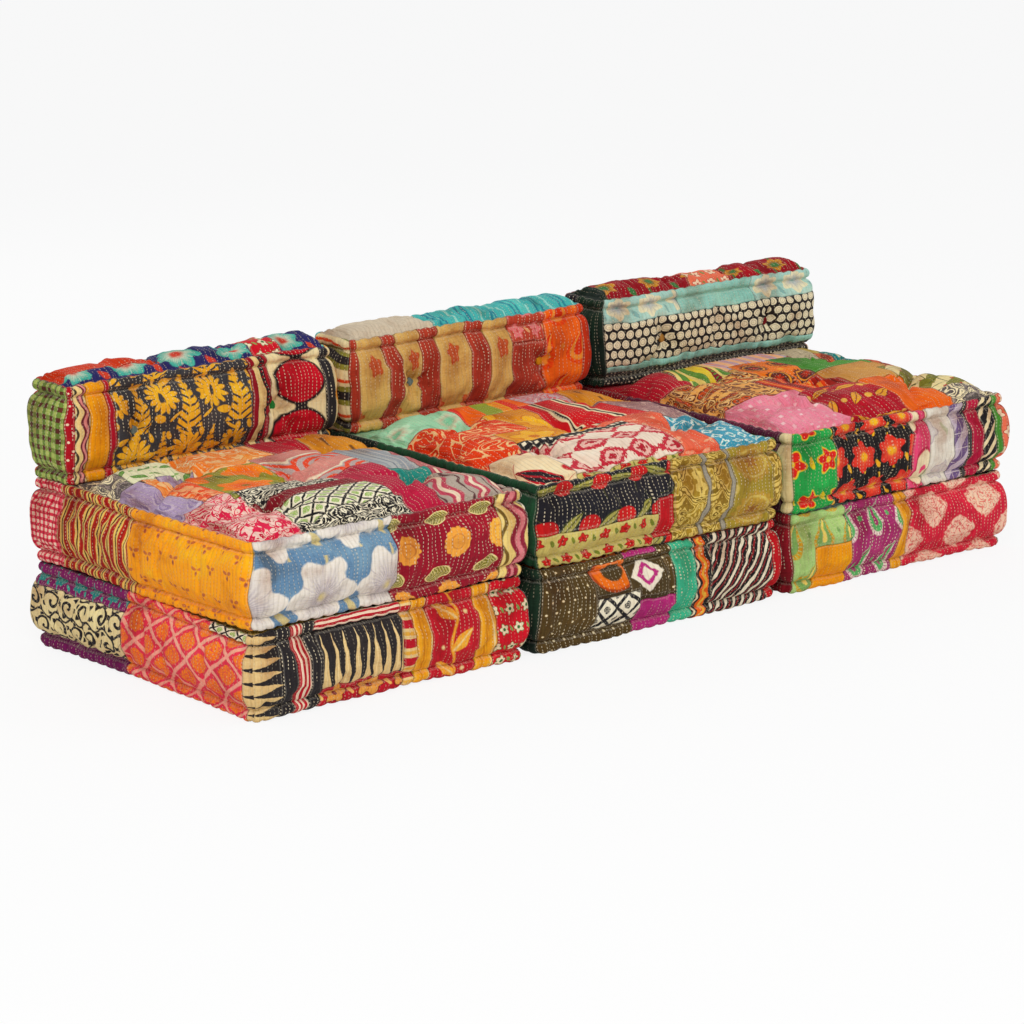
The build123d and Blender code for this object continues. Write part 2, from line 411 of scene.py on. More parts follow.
def shader_group(
    name: str,
    inputs: dict[str, tuple[str, object]],
    outputs: dict[str, str],
    draw: Callable[[Net, Sockets], Sequence[Value]],
) -> bpy.types.NodeTree:
    """Builds a shared effect once, as a node group with named sockets.

    Args:
        name: The group's name.
        inputs: Kind of socket and default value of each input.
        outputs: Kind of socket of each output.
        draw: Lays the nodes and gives a value for each output.

    Returns:
        The group's tree.
    """
    tree = bpy.data.node_groups.new(name, "ShaderNodeTree")
    for label, (kind, default) in inputs.items():
        socket = tree.interface.new_socket(name=label, in_out="INPUT", socket_type=SOCKETS[kind])
        if default is not None:
            socket.default_value = linear(default) if kind == "colour" else default
    for label, kind in outputs.items():
        tree.interface.new_socket(name=label, in_out="OUTPUT", socket_type=SOCKETS[kind])
    net = Net(tree)
    source = tree.nodes.new("NodeGroupInput")
    sink = tree.nodes.new("NodeGroupOutput")
    values = draw(net, {label: net.out(source, label) for label in inputs})
    for label, value in zip(outputs, values):
        net.feed(sink.inputs[label], value)
    return tree


Drawing = tuple[Value, Value]
INKS = ("Ground", "Ink", "Third", "Fourth")


class Print(Net):
    """What a motif is drawn with: its place in repeats, its four colours and its two sizes."""

    def __init__(self, net: Net, s: Sockets) -> None:
        """Takes them from the inputs of the motif's group."""
        super().__init__(net.tree)
        self.x, self.y = self.split(s["Place"])
        self.ground, self.ink, self.third, self.fourth = (s[label] for label in INKS)
        self.width, self.core = s["Width"], s["Core"]

    def coats(self, *coats: tuple[Number, Colour]) -> Value:
        """The ground with colours laid over it in turn, each where its mask is 1."""
        found = self.ground
        for mask, colour in coats:
            found = self.blend(mask, found, colour)
        return found


def draw_plain(p: Print) -> Drawing:
    """Cloudy dye."""
    cloud = p.noise(p.join(p.x, p.y), 1.0, 3.0)
    return p.coats((p.rise(cloud, 0.3, 0.7), p.ink)), cloud * 0.0


def draw_stripes(p: Print) -> Drawing:
    """In each repeat a wide stripe with a line down its middle, and a thin line between two stripes."""
    f = p.fract(p.x + p.sin(p.y * 0.23) * 0.015)
    wide, line = p.under(abs(f - 0.5), p.width), p.under(abs(f - 0.5), p.core)
    return p.coats((wide, p.ink), (line, p.third), (p.under(p.fold(f + 0.5), p.core * 0.7), p.fourth)), wide


def draw_bands(p: Print) -> Drawing:
    """Four plain bands side by side, one of them with beads."""
    f = p.fract(p.x)
    beads = p.under(p.far(f * 4 - 2.9, p.fract(p.y * 3) - 0.5), 0.22, 0.04)
    second, third, fourth = (p.rise(f, *edge) for edge in ((0.30, 0.31), (0.62, 0.63), (0.82, 0.83)))
    return p.coats((second, p.ink), (third, p.third), (fourth, p.fourth), (beads, p.ground)), beads


def draw_ribbon(p: Print) -> Drawing:
    """Bands that swing from side to side."""
    f = p.fract(p.x + p.sin(p.y) * 0.09)
    wide, line = p.under(abs(f - 0.5), p.width), p.under(abs(f - 0.5), p.core)
    return p.coats((wide, p.ink), (line, p.third), (p.under(abs(f - 0.08), 0.05), p.fourth)), wide


def draw_check(p: Print) -> Drawing:
    """Stripes both ways, with a square where they cross."""
    a, b = (p.under(p.fold(v), p.width, 0.04) for v in (p.x, p.y))
    return p.coats((a, p.ink), (b, p.third), (a * b, p.fourth)), a * b


def draw_dots(p: Print) -> Drawing:
    """Round dots in staggered rows, each with an outline and a core."""
    a, b, _ = p.cell(p.x, p.y)
    r = p.far(a, b)
    dot = p.under(r, p.width)
    return p.coats((p.under(r, p.width + 0.06), p.third), (dot, p.ink), (p.under(r, p.core), p.fourth)), dot


def draw_discs(p: Print) -> Drawing:
    """Rows of discs with ragged rims, and between them rows of outlined leaves."""
    row = p.floor(p.y)
    odd = p.odd(row)
    a, b = (p.fract(p.x + odd * 0.3) - 0.5) * 1.8, p.y - row - 0.5
    r, out = p.far(a, b * 0.9), p.far(a * 0.95 + b * 0.35, b * 1.5 - a * 0.3)
    disc = p.under(r, p.width * (p.cos(p.angle(a, b) * 13) * 0.05 + 1.0)) * (1 - odd)
    ring = p.under(abs(r - p.width * 0.5), 0.02) * disc
    leaf, rim = p.under(out, p.core) * odd, p.under(out, p.core + 0.045) * odd
    veins = p.blend(p.rise(p.sin((a + abs(b)) * 9), 0.1, 0.6) * 0.6, p.third, p.fourth)
    return p.coats((disc, p.ink), (ring * 0.35, p.ground), (rim, p.fourth), (leaf, veins)), p.most(disc, leaf)


def draw_ovals(p: Print) -> Drawing:
    """Large outlined ovals one over another, with a dark waist between them."""
    a, b = p.fract(p.x) - 0.5, p.fract(p.y) - 0.5
    r = p.far(a, b * 0.95)
    waist, oval = p.under(abs(a) - (0.5 - abs(b)) * 0.3, p.core), p.under(r, p.width)
    return p.coats((waist, p.fourth), (p.under(r, p.width + 0.05), p.third), (oval, p.ink)), oval


def draw_dashes(p: Print) -> Drawing:
    """Short strokes in staggered rows."""
    a, b, c = p.cell(p.x, p.y)
    stroke = p.under(abs(a + (c - 0.5) * 0.1), p.width, 0.04) * p.under(abs(b), p.core, 0.04)
    return p.coats((stroke, p.blend(c, p.ink, p.third))), stroke


def draw_dabs(p: Print) -> Drawing:
    """Small sprigs set down unevenly: two dabs side by side over a third."""
    a, b, c = p.cell(p.x, p.y)
    a, b = a + (c - 0.5) * 0.3, b + (p.chance(c * 91, 7.0) - 0.5) * 0.3
    left = p.far(a + 0.11 + b * 0.5, (b - 0.05) * 1.3)
    right = p.far(a - 0.11 - b * 0.5, (b - 0.05) * 1.3)
    foot = p.far(a * 1.5, b + 0.16)
    sprig = p.under(p.least(left, right, foot), p.width, 0.03)
    return p.coats((sprig, p.ink), (p.under(foot, p.core, 0.03), p.third)), sprig


def draw_flowers(p: Print) -> Drawing:
    """Five-petalled flowers in staggered rows, with an outline, a heart and small leaves between them."""
    a, b, c = p.cell(p.x, p.y)
    r, angle = p.far(a, b), p.angle(a, b)
    edge = p.width * (p.cos(angle * 5 + c * 6.28) * 0.2 + 0.85)
    g, h, _ = p.cell(p.x + 0.5, p.y)
    leaf = p.under(p.far((g + h * 0.5) * 2.2, (h - g * 0.5) * 0.9), 0.17, 0.03)
    flower, heart = p.under(r, edge), p.under(r, p.core)
    petal = p.under(abs(p.cos(angle * 2.5 + c * 3.14)), 0.13) * p.under(r, edge - 0.03)
    grown = (leaf, p.fourth), (p.under(r, edge + 0.04), p.third), (flower, p.ink)
    return p.coats(*grown, (petal * 0.5, p.third), (heart, p.third)), flower


def draw_blossom(p: Print) -> Drawing:
    """Large shaded blossoms with veined, ragged petals, on stems with leaves."""
    a, b, c = p.cell(p.x, p.y)
    ragged = p.noise(p.join(p.x * 5, p.y * 5), 1.0, 2.0) * 0.22
    r, angle = p.far(a, b), p.angle(a, b)
    edge = p.width * (p.cos(angle * 6 + c * 6.28) * 0.14 + 0.78 + ragged)
    full = p.under(r, edge)
    veins = p.cos(angle * 34) * 0.5 + 0.5
    shade = p.rise(r / edge, 0.95, 0.15) * (veins * 0.5 + 0.5)
    folds = p.under(abs(p.cos(angle * 3 + c * 3.14)), 0.10, 0.08)
    stem = p.under(abs(a + p.sin(p.y * 0.8) * 0.08 + 0.02), 0.02) * (1 - full)
    g, h, _ = p.cell(p.x + 0.5, p.y + 0.25)
    leaf = p.under(p.far((g + h * 0.6) * 2.0, (h - g * 0.6) * 0.8), 0.13, 0.03)
    petals = p.blend(p.most(shade, folds * 0.55), p.ink, p.third)
    return p.coats((p.most(leaf, stem), p.fourth), (full, petals), (p.under(r, p.core, 0.05), p.fourth)), full


def draw_scrolls(p: Print) -> Drawing:
    """Scrolling leaf forms: strokes along the contour lines of a soft noise, mirrored both ways in each repeat.

    A stroke swells and tapers with a second noise, and a third gives its edges lobes like a leaf's.
    """
    place = p.join(p.fold(p.x) * 2 + p.core * 50, p.fold(p.y) * 2)
    n = p.noise(place, 2.1, 1.0, 0.8)
    reach = p.noise(place, 4.5, 1.0) * 1.2 + p.noise(place, 11.0, 1.0) * 1.6 - 0.45
    stroke = p.under(p.fold(n * 6), p.width * reach, 0.04)
    return p.coats((p.rise(n, 0.575, 0.585), p.third), (p.under(n, 0.40, 0.008), p.fourth), (stroke, p.ink)), stroke


def draw_curls(p: Print) -> Drawing:
    """Bold hooks with swaying stems between their rows.

    In each cell is one spiral stroke, broad at its heart, and in some cells barbs stand round it.
    """
    a, b, c = p.cell(p.x, p.y)
    r = p.far(a, b)
    spin = p.angle(b, a) / 6.2832 + c
    swell = p.noise(p.join(p.x * 3, p.y * 3), 1.0, 1.0) + 0.5
    stroke = p.under(p.fold(spin + r * 2.6), p.width * swell * (1.45 - r * 2)) * p.under(r, 0.43)
    barbs = p.under(p.fold(spin * 6), (0.62 - r) * 1.3) * p.rise(r, 0.40, 0.42) * p.under(r, 0.60)
    stem = p.under(p.fold(p.y + 0.5 + p.sin(p.x) * 0.13), 0.05 * swell)
    ink = p.most(stroke, p.most(barbs * p.rise(c, 0.3, 0.31), stem))
    return p.coats((ink, p.ink)), ink


def draw_sprays(p: Print) -> Drawing:
    """Notched palmettes with a dark heart, tall fronds between them, and small leaves strewn about."""
    sway = p.sin(p.y * 0.6) * 0.06
    a, b, c = p.cell(p.x + sway, p.y)
    r = p.far(a, b)
    petals = abs(p.cos(p.angle(b, a) * 6.5))
    size = p.width * (c * 0.3 + 0.8)
    notches = p.under(petals, 0.16, 0.08) * p.rise(r, 0.13, 0.16)
    palmette = p.under(r, size * (petals * 0.36 + 0.66)) * (1 - notches)
    palmette = palmette * (1 - p.under(p.far(a * 1.8, b + abs(a) * 1.1), p.core))
    crown = p.under(p.far(a * 1.4, b - size * 1.15), 0.07)
    g, h, _ = p.cell(p.x + sway + 0.5, p.y + 0.1)
    leaflets = p.under(p.fold(h * 7 - abs(g) * 5), 0.34, 0.06)
    frond = p.most(leaflets * p.under(abs(g), (0.52 - h) * 0.24 + 0.01), p.under(abs(g), 0.02))
    u, v, d = p.cell(p.x * 3.1 + p.sin(p.y * 1.3) * 0.3, p.y * 3.1)
    lean = (p.rise(d, 0.3, 0.7) - 0.5) * 2.2
    leaf = p.under(p.far((u * 0.9 + v * lean) * 2.1, (v * 0.9 - u * lean) * 5.2), 0.9, 0.1)
    gold = p.most(palmette, crown, frond, leaf * p.rise(d, 0.28, 0.30) * 0.95)
    return p.coats((gold, p.ink)), gold


def draw_paisley(p: Print) -> Drawing:
    """Drops with a bent tip, each with an edge, a body and a heart, in staggered rows."""
    a, b, _ = p.cell(p.x, p.y)
    up = b + 0.16
    bent = a - up * up * 0.9 + 0.04
    taper = p.most(1 - p.most(up, 0.0) * 1.65, 0.04)
    f = p.far(bent / taper, p.least(up, 0.0))
    drop, body, heart = (p.under(f, size) for size in (p.width, p.width * 0.7, p.core))
    beads = p.under(abs(p.cos(p.angle(bent, up) * 9)), 0.35, 0.1)
    rim = p.under(abs(f - p.width * 0.84), 0.03) * beads
    g, h, _ = p.cell(p.x + 0.5, p.y)
    inside = (drop, p.ink), (body, p.third), (heart, p.fourth), (rim, p.ground)
    return p.coats(*inside, (p.under(p.far(g, h), 0.06), p.third)), drop


def draw_vine(p: Print) -> Drawing:
    """A swaying stem with a leaf to each side in turn, and berries beside it."""
    a = p.fract(p.x) - 0.5 - p.sin(p.y) * 0.09
    row = p.floor(p.y * 2)
    side = p.odd(row) * 2 - 1
    b = p.y - row * 0.5 - 0.25
    out = a * side - 0.2
    along, over = out * 0.8 + b * 0.6, b * 0.8 - out * 0.6
    leaf = p.under(p.far(along / 0.24, over / (0.12 - abs(along) * 0.2)), 1.0, 0.12)
    berry = p.under(p.far(a * side + 0.17, b + 0.06), p.core)
    green = p.most(leaf, p.under(abs(a), 0.028))
    midrib = p.under(abs(over), 0.012) * leaf
    return p.coats((green, p.ink), (midrib, p.third), (berry, p.fourth)), p.most(green, berry)


def draw_leaves(p: Print) -> Drawing:
    """Pointed leaves that lie every way, with an outline and a midrib, and small flowers among them."""
    a, b, c = p.cell(p.x, p.y)
    cosine, sine = p.cos(c * 6.28), p.math("SINE", c * 6.28)
    u, v = a * cosine + b * sine, b * cosine - a * sine
    f = abs(v) / (0.42 - u * u * 2.2)
    leaf = p.under(f, p.width) * p.under(abs(u), 0.43)
    edge = p.under(f, p.width + 0.1) * p.under(abs(u), 0.45)
    g, h, _ = p.cell(p.x + 0.5, p.y)
    flower = p.under(p.far(g, h), p.core)
    midrib = p.under(abs(v), 0.015) * leaf
    return p.coats((edge, p.third), (leaf, p.ink), (midrib, p.third), (flower, p.fourth)), p.most(leaf, flower)


def draw_lattice(p: Print) -> Drawing:
    """Diamonds in a net of lines, each with an inner line and a heart."""
    a, b = p.fract(p.x + p.y) - 0.5, p.fract(p.x - p.y) - 0.5
    d = p.most(abs(a), abs(b))
    line = p.under(0.5 - d, p.width)
    scales = p.noise(p.join(p.x * 14, p.y * 14), 1.0, 1.0)
    heart = p.under((p.far(a, b) + d) * 0.5 + scales * 0.08 - 0.04, p.core, 0.02)
    inner, fleck = p.under(abs(d - 0.5 + p.width * 1.9), 0.03), heart * p.under(abs(scales - 0.5), 0.05) * 0.75
    return p.coats((line, p.ink), (inner, p.third), (heart, p.fourth), (fleck, p.ground)), p.most(line, heart)


def draw_spikes(p: Print) -> Drawing:
    """Tall spikes that taper upwards, with barbed sides."""
    f, h = p.fold(p.x), p.least(p.y, 1.0)
    spike = p.under(f + p.fold(p.y * 9) * 0.05, p.width * (1.05 - h * 1.3))
    return p.coats((spike, p.ink), (p.under(f, p.core) * spike, p.third)), spike


def draw_fans(p: Print) -> Drawing:
    """Fans in staggered rows, each of curved stripes with a rim."""
    a, b, _ = p.cell(p.x, p.y)
    r = p.far(a, b + 0.5)
    rings, past = p.under(p.fold(r * 5), p.width, 0.06), p.rise(r, 0.62, 0.65)
    return p.coats((rings, p.ink), (past, p.third), (p.under(abs(r - 0.62), 0.03), p.fourth)), rings


def draw_ikat(p: Print) -> Drawing:
    """Nested diamonds whose edges are feathered by the dyed threads."""
    jag = p.chance(p.floor(p.x * 26), p.floor(p.y * 2 + 0.3)) * p.core
    d = p.fold(p.x) + p.fold(p.y) * 1.1 + jag
    large, middle, small = (p.under(d, size) for size in (p.width * 2.6, p.width * 1.7, p.width))
    return p.coats((large, p.ink), (middle, p.third), (small, p.fourth)), middle


def draw_comb(p: Print) -> Drawing:
    """Ovals packed like a comb's cells, each with a ring and a heart."""
    a, b, _ = p.cell(p.x, p.y)
    r = p.far(a, b * 0.95)
    cell, ring = p.under(r, p.width), p.under(abs(r - p.width * 0.62), 0.035)
    return p.coats((cell, p.ink), (ring, p.third), (p.under(r, p.core), p.fourth)), cell


def draw_blocks(p: Print) -> Drawing:
    """Squares cut across by a slanted edge, turned about in each next square, with a frame line."""
    a, b = p.fract(p.x), p.fract(p.y)
    half = abs(p.rise(a - b, -0.02, 0.02) - p.odd(p.floor(p.x) + p.floor(p.y)))
    a, b = a - 0.5, b - 0.5
    frame, heart = p.under(0.5 - p.most(abs(a), abs(b)), p.width * 0.2), p.under(p.far(a, b), p.core)
    return p.coats((half, p.ink), (frame, p.third), (heart, p.fourth)), half


def draw_medallion(p: Print) -> Drawing:
    """Round medallions: a ring of small petals, a plain ring and a star in the middle."""
    a, b = p.fract(p.x) - 0.5, p.fract(p.y) - 0.5
    r, angle = p.far(a, b), p.angle(a, b)
    disc, ring = p.under(r, p.width + p.cos(angle * 16) * 0.03), p.under(abs(r - p.width * 0.76), 0.022)
    star = p.under(r, p.core * (p.cos(angle * 8) * 0.35 + 0.9))
    corner = p.under(p.far(0.5 - abs(a), 0.5 - abs(b)), 0.1)
    return p.coats((disc, p.ink), (ring, p.third), (star, p.fourth), (corner, p.third)), disc


class Motif(Enum):
    """What is printed, woven or embroidered on a cloth, with the function that draws it."""

    PLAIN = member(draw_plain)
    STRIPES = member(draw_stripes)
    BANDS = member(draw_bands)
    RIBBON = member(draw_ribbon)
    CHECK = member(draw_check)
    DOTS = member(draw_dots)
    DISCS = member(draw_discs)
    OVALS = member(draw_ovals)
    DASHES = member(draw_dashes)
    DABS = member(draw_dabs)
    FLOWERS = member(draw_flowers)
    BLOSSOM = member(draw_blossom)
    SCROLLS = member(draw_scrolls)
    CURLS = member(draw_curls)
    SPRAYS = member(draw_sprays)
    PAISLEY = member(draw_paisley)
    VINE = member(draw_vine)
    LEAVES = member(draw_leaves)
    LATTICE = member(draw_lattice)
    SPIKES = member(draw_spikes)
    FANS = member(draw_fans)
    IKAT = member(draw_ikat)
    COMB = member(draw_comb)
    BLOCKS = member(draw_blocks)
    MEDALLION = member(draw_medallion)


def motif_group(motif: Motif) -> bpy.types.NodeTree:
    """The node group that draws a motif, one repeat to each unit of its place."""
    name = "motif_" + motif.name.lower()
    if name not in bpy.data.node_groups:
        inks = {label: ("colour", "#808080") for label in INKS}
        inputs = {"Place": ("vector", None), **inks, "Width": ("number", 0.25), "Core": ("number", 0.1)}
        outputs = {"Colour": "colour", "Relief": "number"}
        shader_group(name, inputs, outputs, lambda net, s: motif.value(Print(net, s)))
    return bpy.data.node_groups[name]


def quilting(net: Net, s: Sockets) -> Sequence[Value]:
    """Running stitch in rows: the cloth puffs between the rows and dips under each stitch.

    Rows wander a little. The puff is the square root of the distance from a row, in metres. Along each row, where the
    cloth dips, its colour is darkened as painted shade.
    """
    y, x = net.split(s["Place"])
    wander = net.noise(s["Place"], 9.0, 1.0) * 0.006
    row = (y + wander) / s["Spacing"]
    number = net.floor(row)
    across = net.fract(row) - 0.5
    pace = s["Spacing"] * 0.7
    along = net.fract(x / pace + net.chance(number, 3.0)) - 0.5
    thread = net.under(abs(across) * s["Spacing"], STITCH_WIDTH, STITCH_WIDTH / 2)
    stitch = thread * net.under(abs(along), 0.25, 0.06)
    lasting = net.rise(net.noise(s["Place"], 35.0, 2.0), 0.36, 0.46)
    shown = stitch * lasting * s["Amount"]
    puff = net.math("SQRT", net.most(abs(across) * 2, 0.0001)) * PUFF_RELIEF
    colour = net.blend(shown, s["Colour"], s["Thread"])
    # painted shade: the cloth is darkened where it dips along each row, but not on the stitches themselves
    painted_dip_shade = net.rise(abs(across), 0.22, 0.0) * 0.12
    colour = net.blend(painted_dip_shade * (1 - shown), colour, STITCH_DIP_PAINTED_SHADE)
    return colour, puff + shown * STITCH_RELIEF


def worn(net: Net, s: Sockets) -> Sequence[Value]:
    """Washed cotton: faded and darker clouds, slubs along both threads, and a crumpled surface in metres."""
    x, y = net.split(s["Place"])
    cloud = net.noise(s["Place"], 11.0, 3.0)
    colour = net.blend(net.rise(cloud, 0.5, 0.8) * s["Wear"], s["Colour"], FADED, "SOFT_LIGHT")
    colour = net.blend(net.rise(cloud, 0.46, 0.2) * s["Wear"], colour, SOILED, "MULTIPLY")
    warp = net.noise(net.join(x * 900, y * 60), 1.0, 1.0)
    weft = net.noise(net.join(x * 60, y * 900), 1.0, 1.0)
    slub = (warp + weft) * 0.5
    grey = net.out(net.node("ShaderNodeCombineColor", {0: slub, 1: slub, 2: slub}))
    shaded = net.blend(0.75, colour, grey, "SOFT_LIGHT")
    crumple = net.noise(s["Place"], 95.0, 3.0, 0.6)
    return shaded, slub * WEAVE_RELIEF + crumple * CRUMPLE_RELIEF, cloud * 0.16 + 0.76


def seamed(net: Net, s: Sockets) -> Sequence[Value]:
    """Sewn edges: painted shade as a dark line in the seam's groove, a paler worn ridge beside it, and stitches that
    hold it.
    """
    away = net.out(net.node("ShaderNodeAttribute", {}, attribute_name=SEAM), "Fac")
    x, y = net.split(s["Place"])
    ragged = away + (net.noise(s["Place"], 120.0, 2.0) - 0.5) * 0.0012
    # painted shade: a half-dark line where the seam sinks into the padding
    line = net.rise(ragged, SEAM_LINE, 0.0003)
    ridge = net.rise(abs(ragged - SEAM_RIDGE), SEAM_RIDGE / 2, 0.0)
    colour = net.blend(ridge * 0.08, s["Colour"], RUBBED)
    colour = net.blend(line * 0.5, colour, SEAM_PAINTED_SHADE)
    ticks = net.under(abs(net.fract((x + y) / 0.0065) - 0.5), 0.2, 0.08)
    tick = ticks * net.rise(abs(ragged - 0.0022), 0.0009, 0.0004) * s["Stitching"]
    colour = net.blend(tick, colour, s["Thread"])
    return colour, net.rise(ragged, 0.0, 0.004) * SEAM_RELIEF + tick * STITCH_RELIEF


def cloth_groups() -> dict[str, bpy.types.NodeTree]:
    """The effects that all cloths share, built once."""
    place, thread = ("vector", None), ("colour", "#e8e0d0")
    stitched = {"Place": place, "Colour": thread, "Thread": thread}
    shown = {"Colour": "colour", "Relief": "number"}
    plans = {
        "quilting": (quilting, {**stitched, "Amount": ("number", 1.0), "Spacing": ("number", 0.01)}, shown),
        "worn": (
            worn,
            {"Place": place, "Colour": thread, "Wear": ("number", 0.3)},
            {**shown, "Roughness": "number"},
        ),
        "seamed": (seamed, {**stitched, "Stitching": ("number", 0.5)}, shown),
    }
    for name, (draw, inputs, outputs) in plans.items():
        if name not in bpy.data.node_groups:
            shader_group(name, inputs, outputs, draw)
    return {name: bpy.data.node_groups[name] for name in plans}


@dataclass(frozen=True)
class Fabric:
    """One cloth of the patchwork.

    The repeat is the motif's size along and across the cloth in metres. The colours are hex digits for the
    ground and up to three inks, with spaces between. Width and core are the motif's own sizes in repeats.
    The start moves the motif along and across, in repeats, and the turn is in degrees.
    """

    motif: Motif
    repeat: tuple[float, float]
    colours: str
    width: float = 0.25
    core: float = 0.08
    turn: float = 0.0
    start: tuple[float, float] = (0.0, 0.0)
    thread: str = "#ead9b6"
    stitch: float = 0.5
    wear: float = 0.7

    def inks(self) -> dict[str, str]:
        """The motif's four colours, where the last one given stands for those that are left out."""
        given = self.colours.split()
        return dict(zip(INKS, given + given[-1:] * (len(INKS) - len(given))))

    def material(self, name: str) -> bpy.types.Material:
        """Builds the cloth's material, or finds it if it is already built.

        Args:
            name: The cloth's name.

        Returns:
            The material.
        """
        if name in bpy.data.materials:
            return bpy.data.materials[name]
        material = bpy.data.materials.new(name)
        material.use_nodes = True
        net = Net(material.node_tree)
        groups = cloth_groups()
        place = net.out(net.node("ShaderNodeUVMap", {}, uv_map=CLOTH_MAP))
        wobble = net.out(net.node("ShaderNodeTexNoise", {"Vector": place, "Scale": 14.0, "Detail": 1.0}), 1)
        drift = {0: wobble, 1: (PRINT_DRIFT,) * 3, 2: place}
        drifted = net.out(net.node("ShaderNodeVectorMath", drift, operation="MULTIPLY_ADD"))
        turned = {"Vector": drifted, "Rotation": (0.0, 0.0, math.radians(self.turn))}
        scale = (1 / self.repeat[0], 1 / self.repeat[1], 1.0)
        start = (*self.start, 0.0)
        mapped = {"Vector": net.out(net.node("ShaderNodeMapping", turned)), "Location": start, "Scale": scale}
        print_place = net.out(net.node("ShaderNodeMapping", mapped))
        sizes = {"Width": self.width, "Core": self.core}
        motif = net.group(motif_group(self.motif), {"Place": print_place, **self.inks(), **sizes})
        aged = {"Place": place, "Colour": net.out(motif, "Colour"), "Wear": self.wear}
        cloth = net.group(groups["worn"], aged)
        rows = {"Place": place, "Colour": net.out(cloth, "Colour"), "Thread": self.thread}
        quilt = net.group(groups["quilting"], {**rows, "Amount": self.stitch, "Spacing": STITCH_SPACING})
        sewn = {"Place": place, "Colour": net.out(quilt, "Colour"), "Thread": self.thread}
        seam = net.group(groups["seamed"], {**sewn, "Stitching": SEAM_STITCHING})
        height = net.out(cloth, "Relief") + net.out(quilt, "Relief") + net.out(seam, "Relief")
        height = height + net.out(motif, "Relief") * PRINT_RELIEF
        bump = net.node("ShaderNodeBump", {"Strength": 1.0, "Distance": 1.0, "Height": height})
        shader = material.node_tree.nodes["Principled BSDF"]
        net.feed(shader.inputs["Base Color"], net.out(seam, "Colour"))
        net.feed(shader.inputs["Roughness"], net.out(cloth, "Roughness"))
        net.feed(shader.inputs["Normal"], net.out(bump))
        for label, value in COTTON_GLOSS.items():
            shader.inputs[label].default_value = value
        return material


def plain(colours: str, repeat: float = 0.2, **extras: Union[float, str]) -> Fabric:
    """A cloth of one colour with a cloudy second one in it."""
    return Fabric(Motif.PLAIN, (repeat, repeat), colours, **extras)


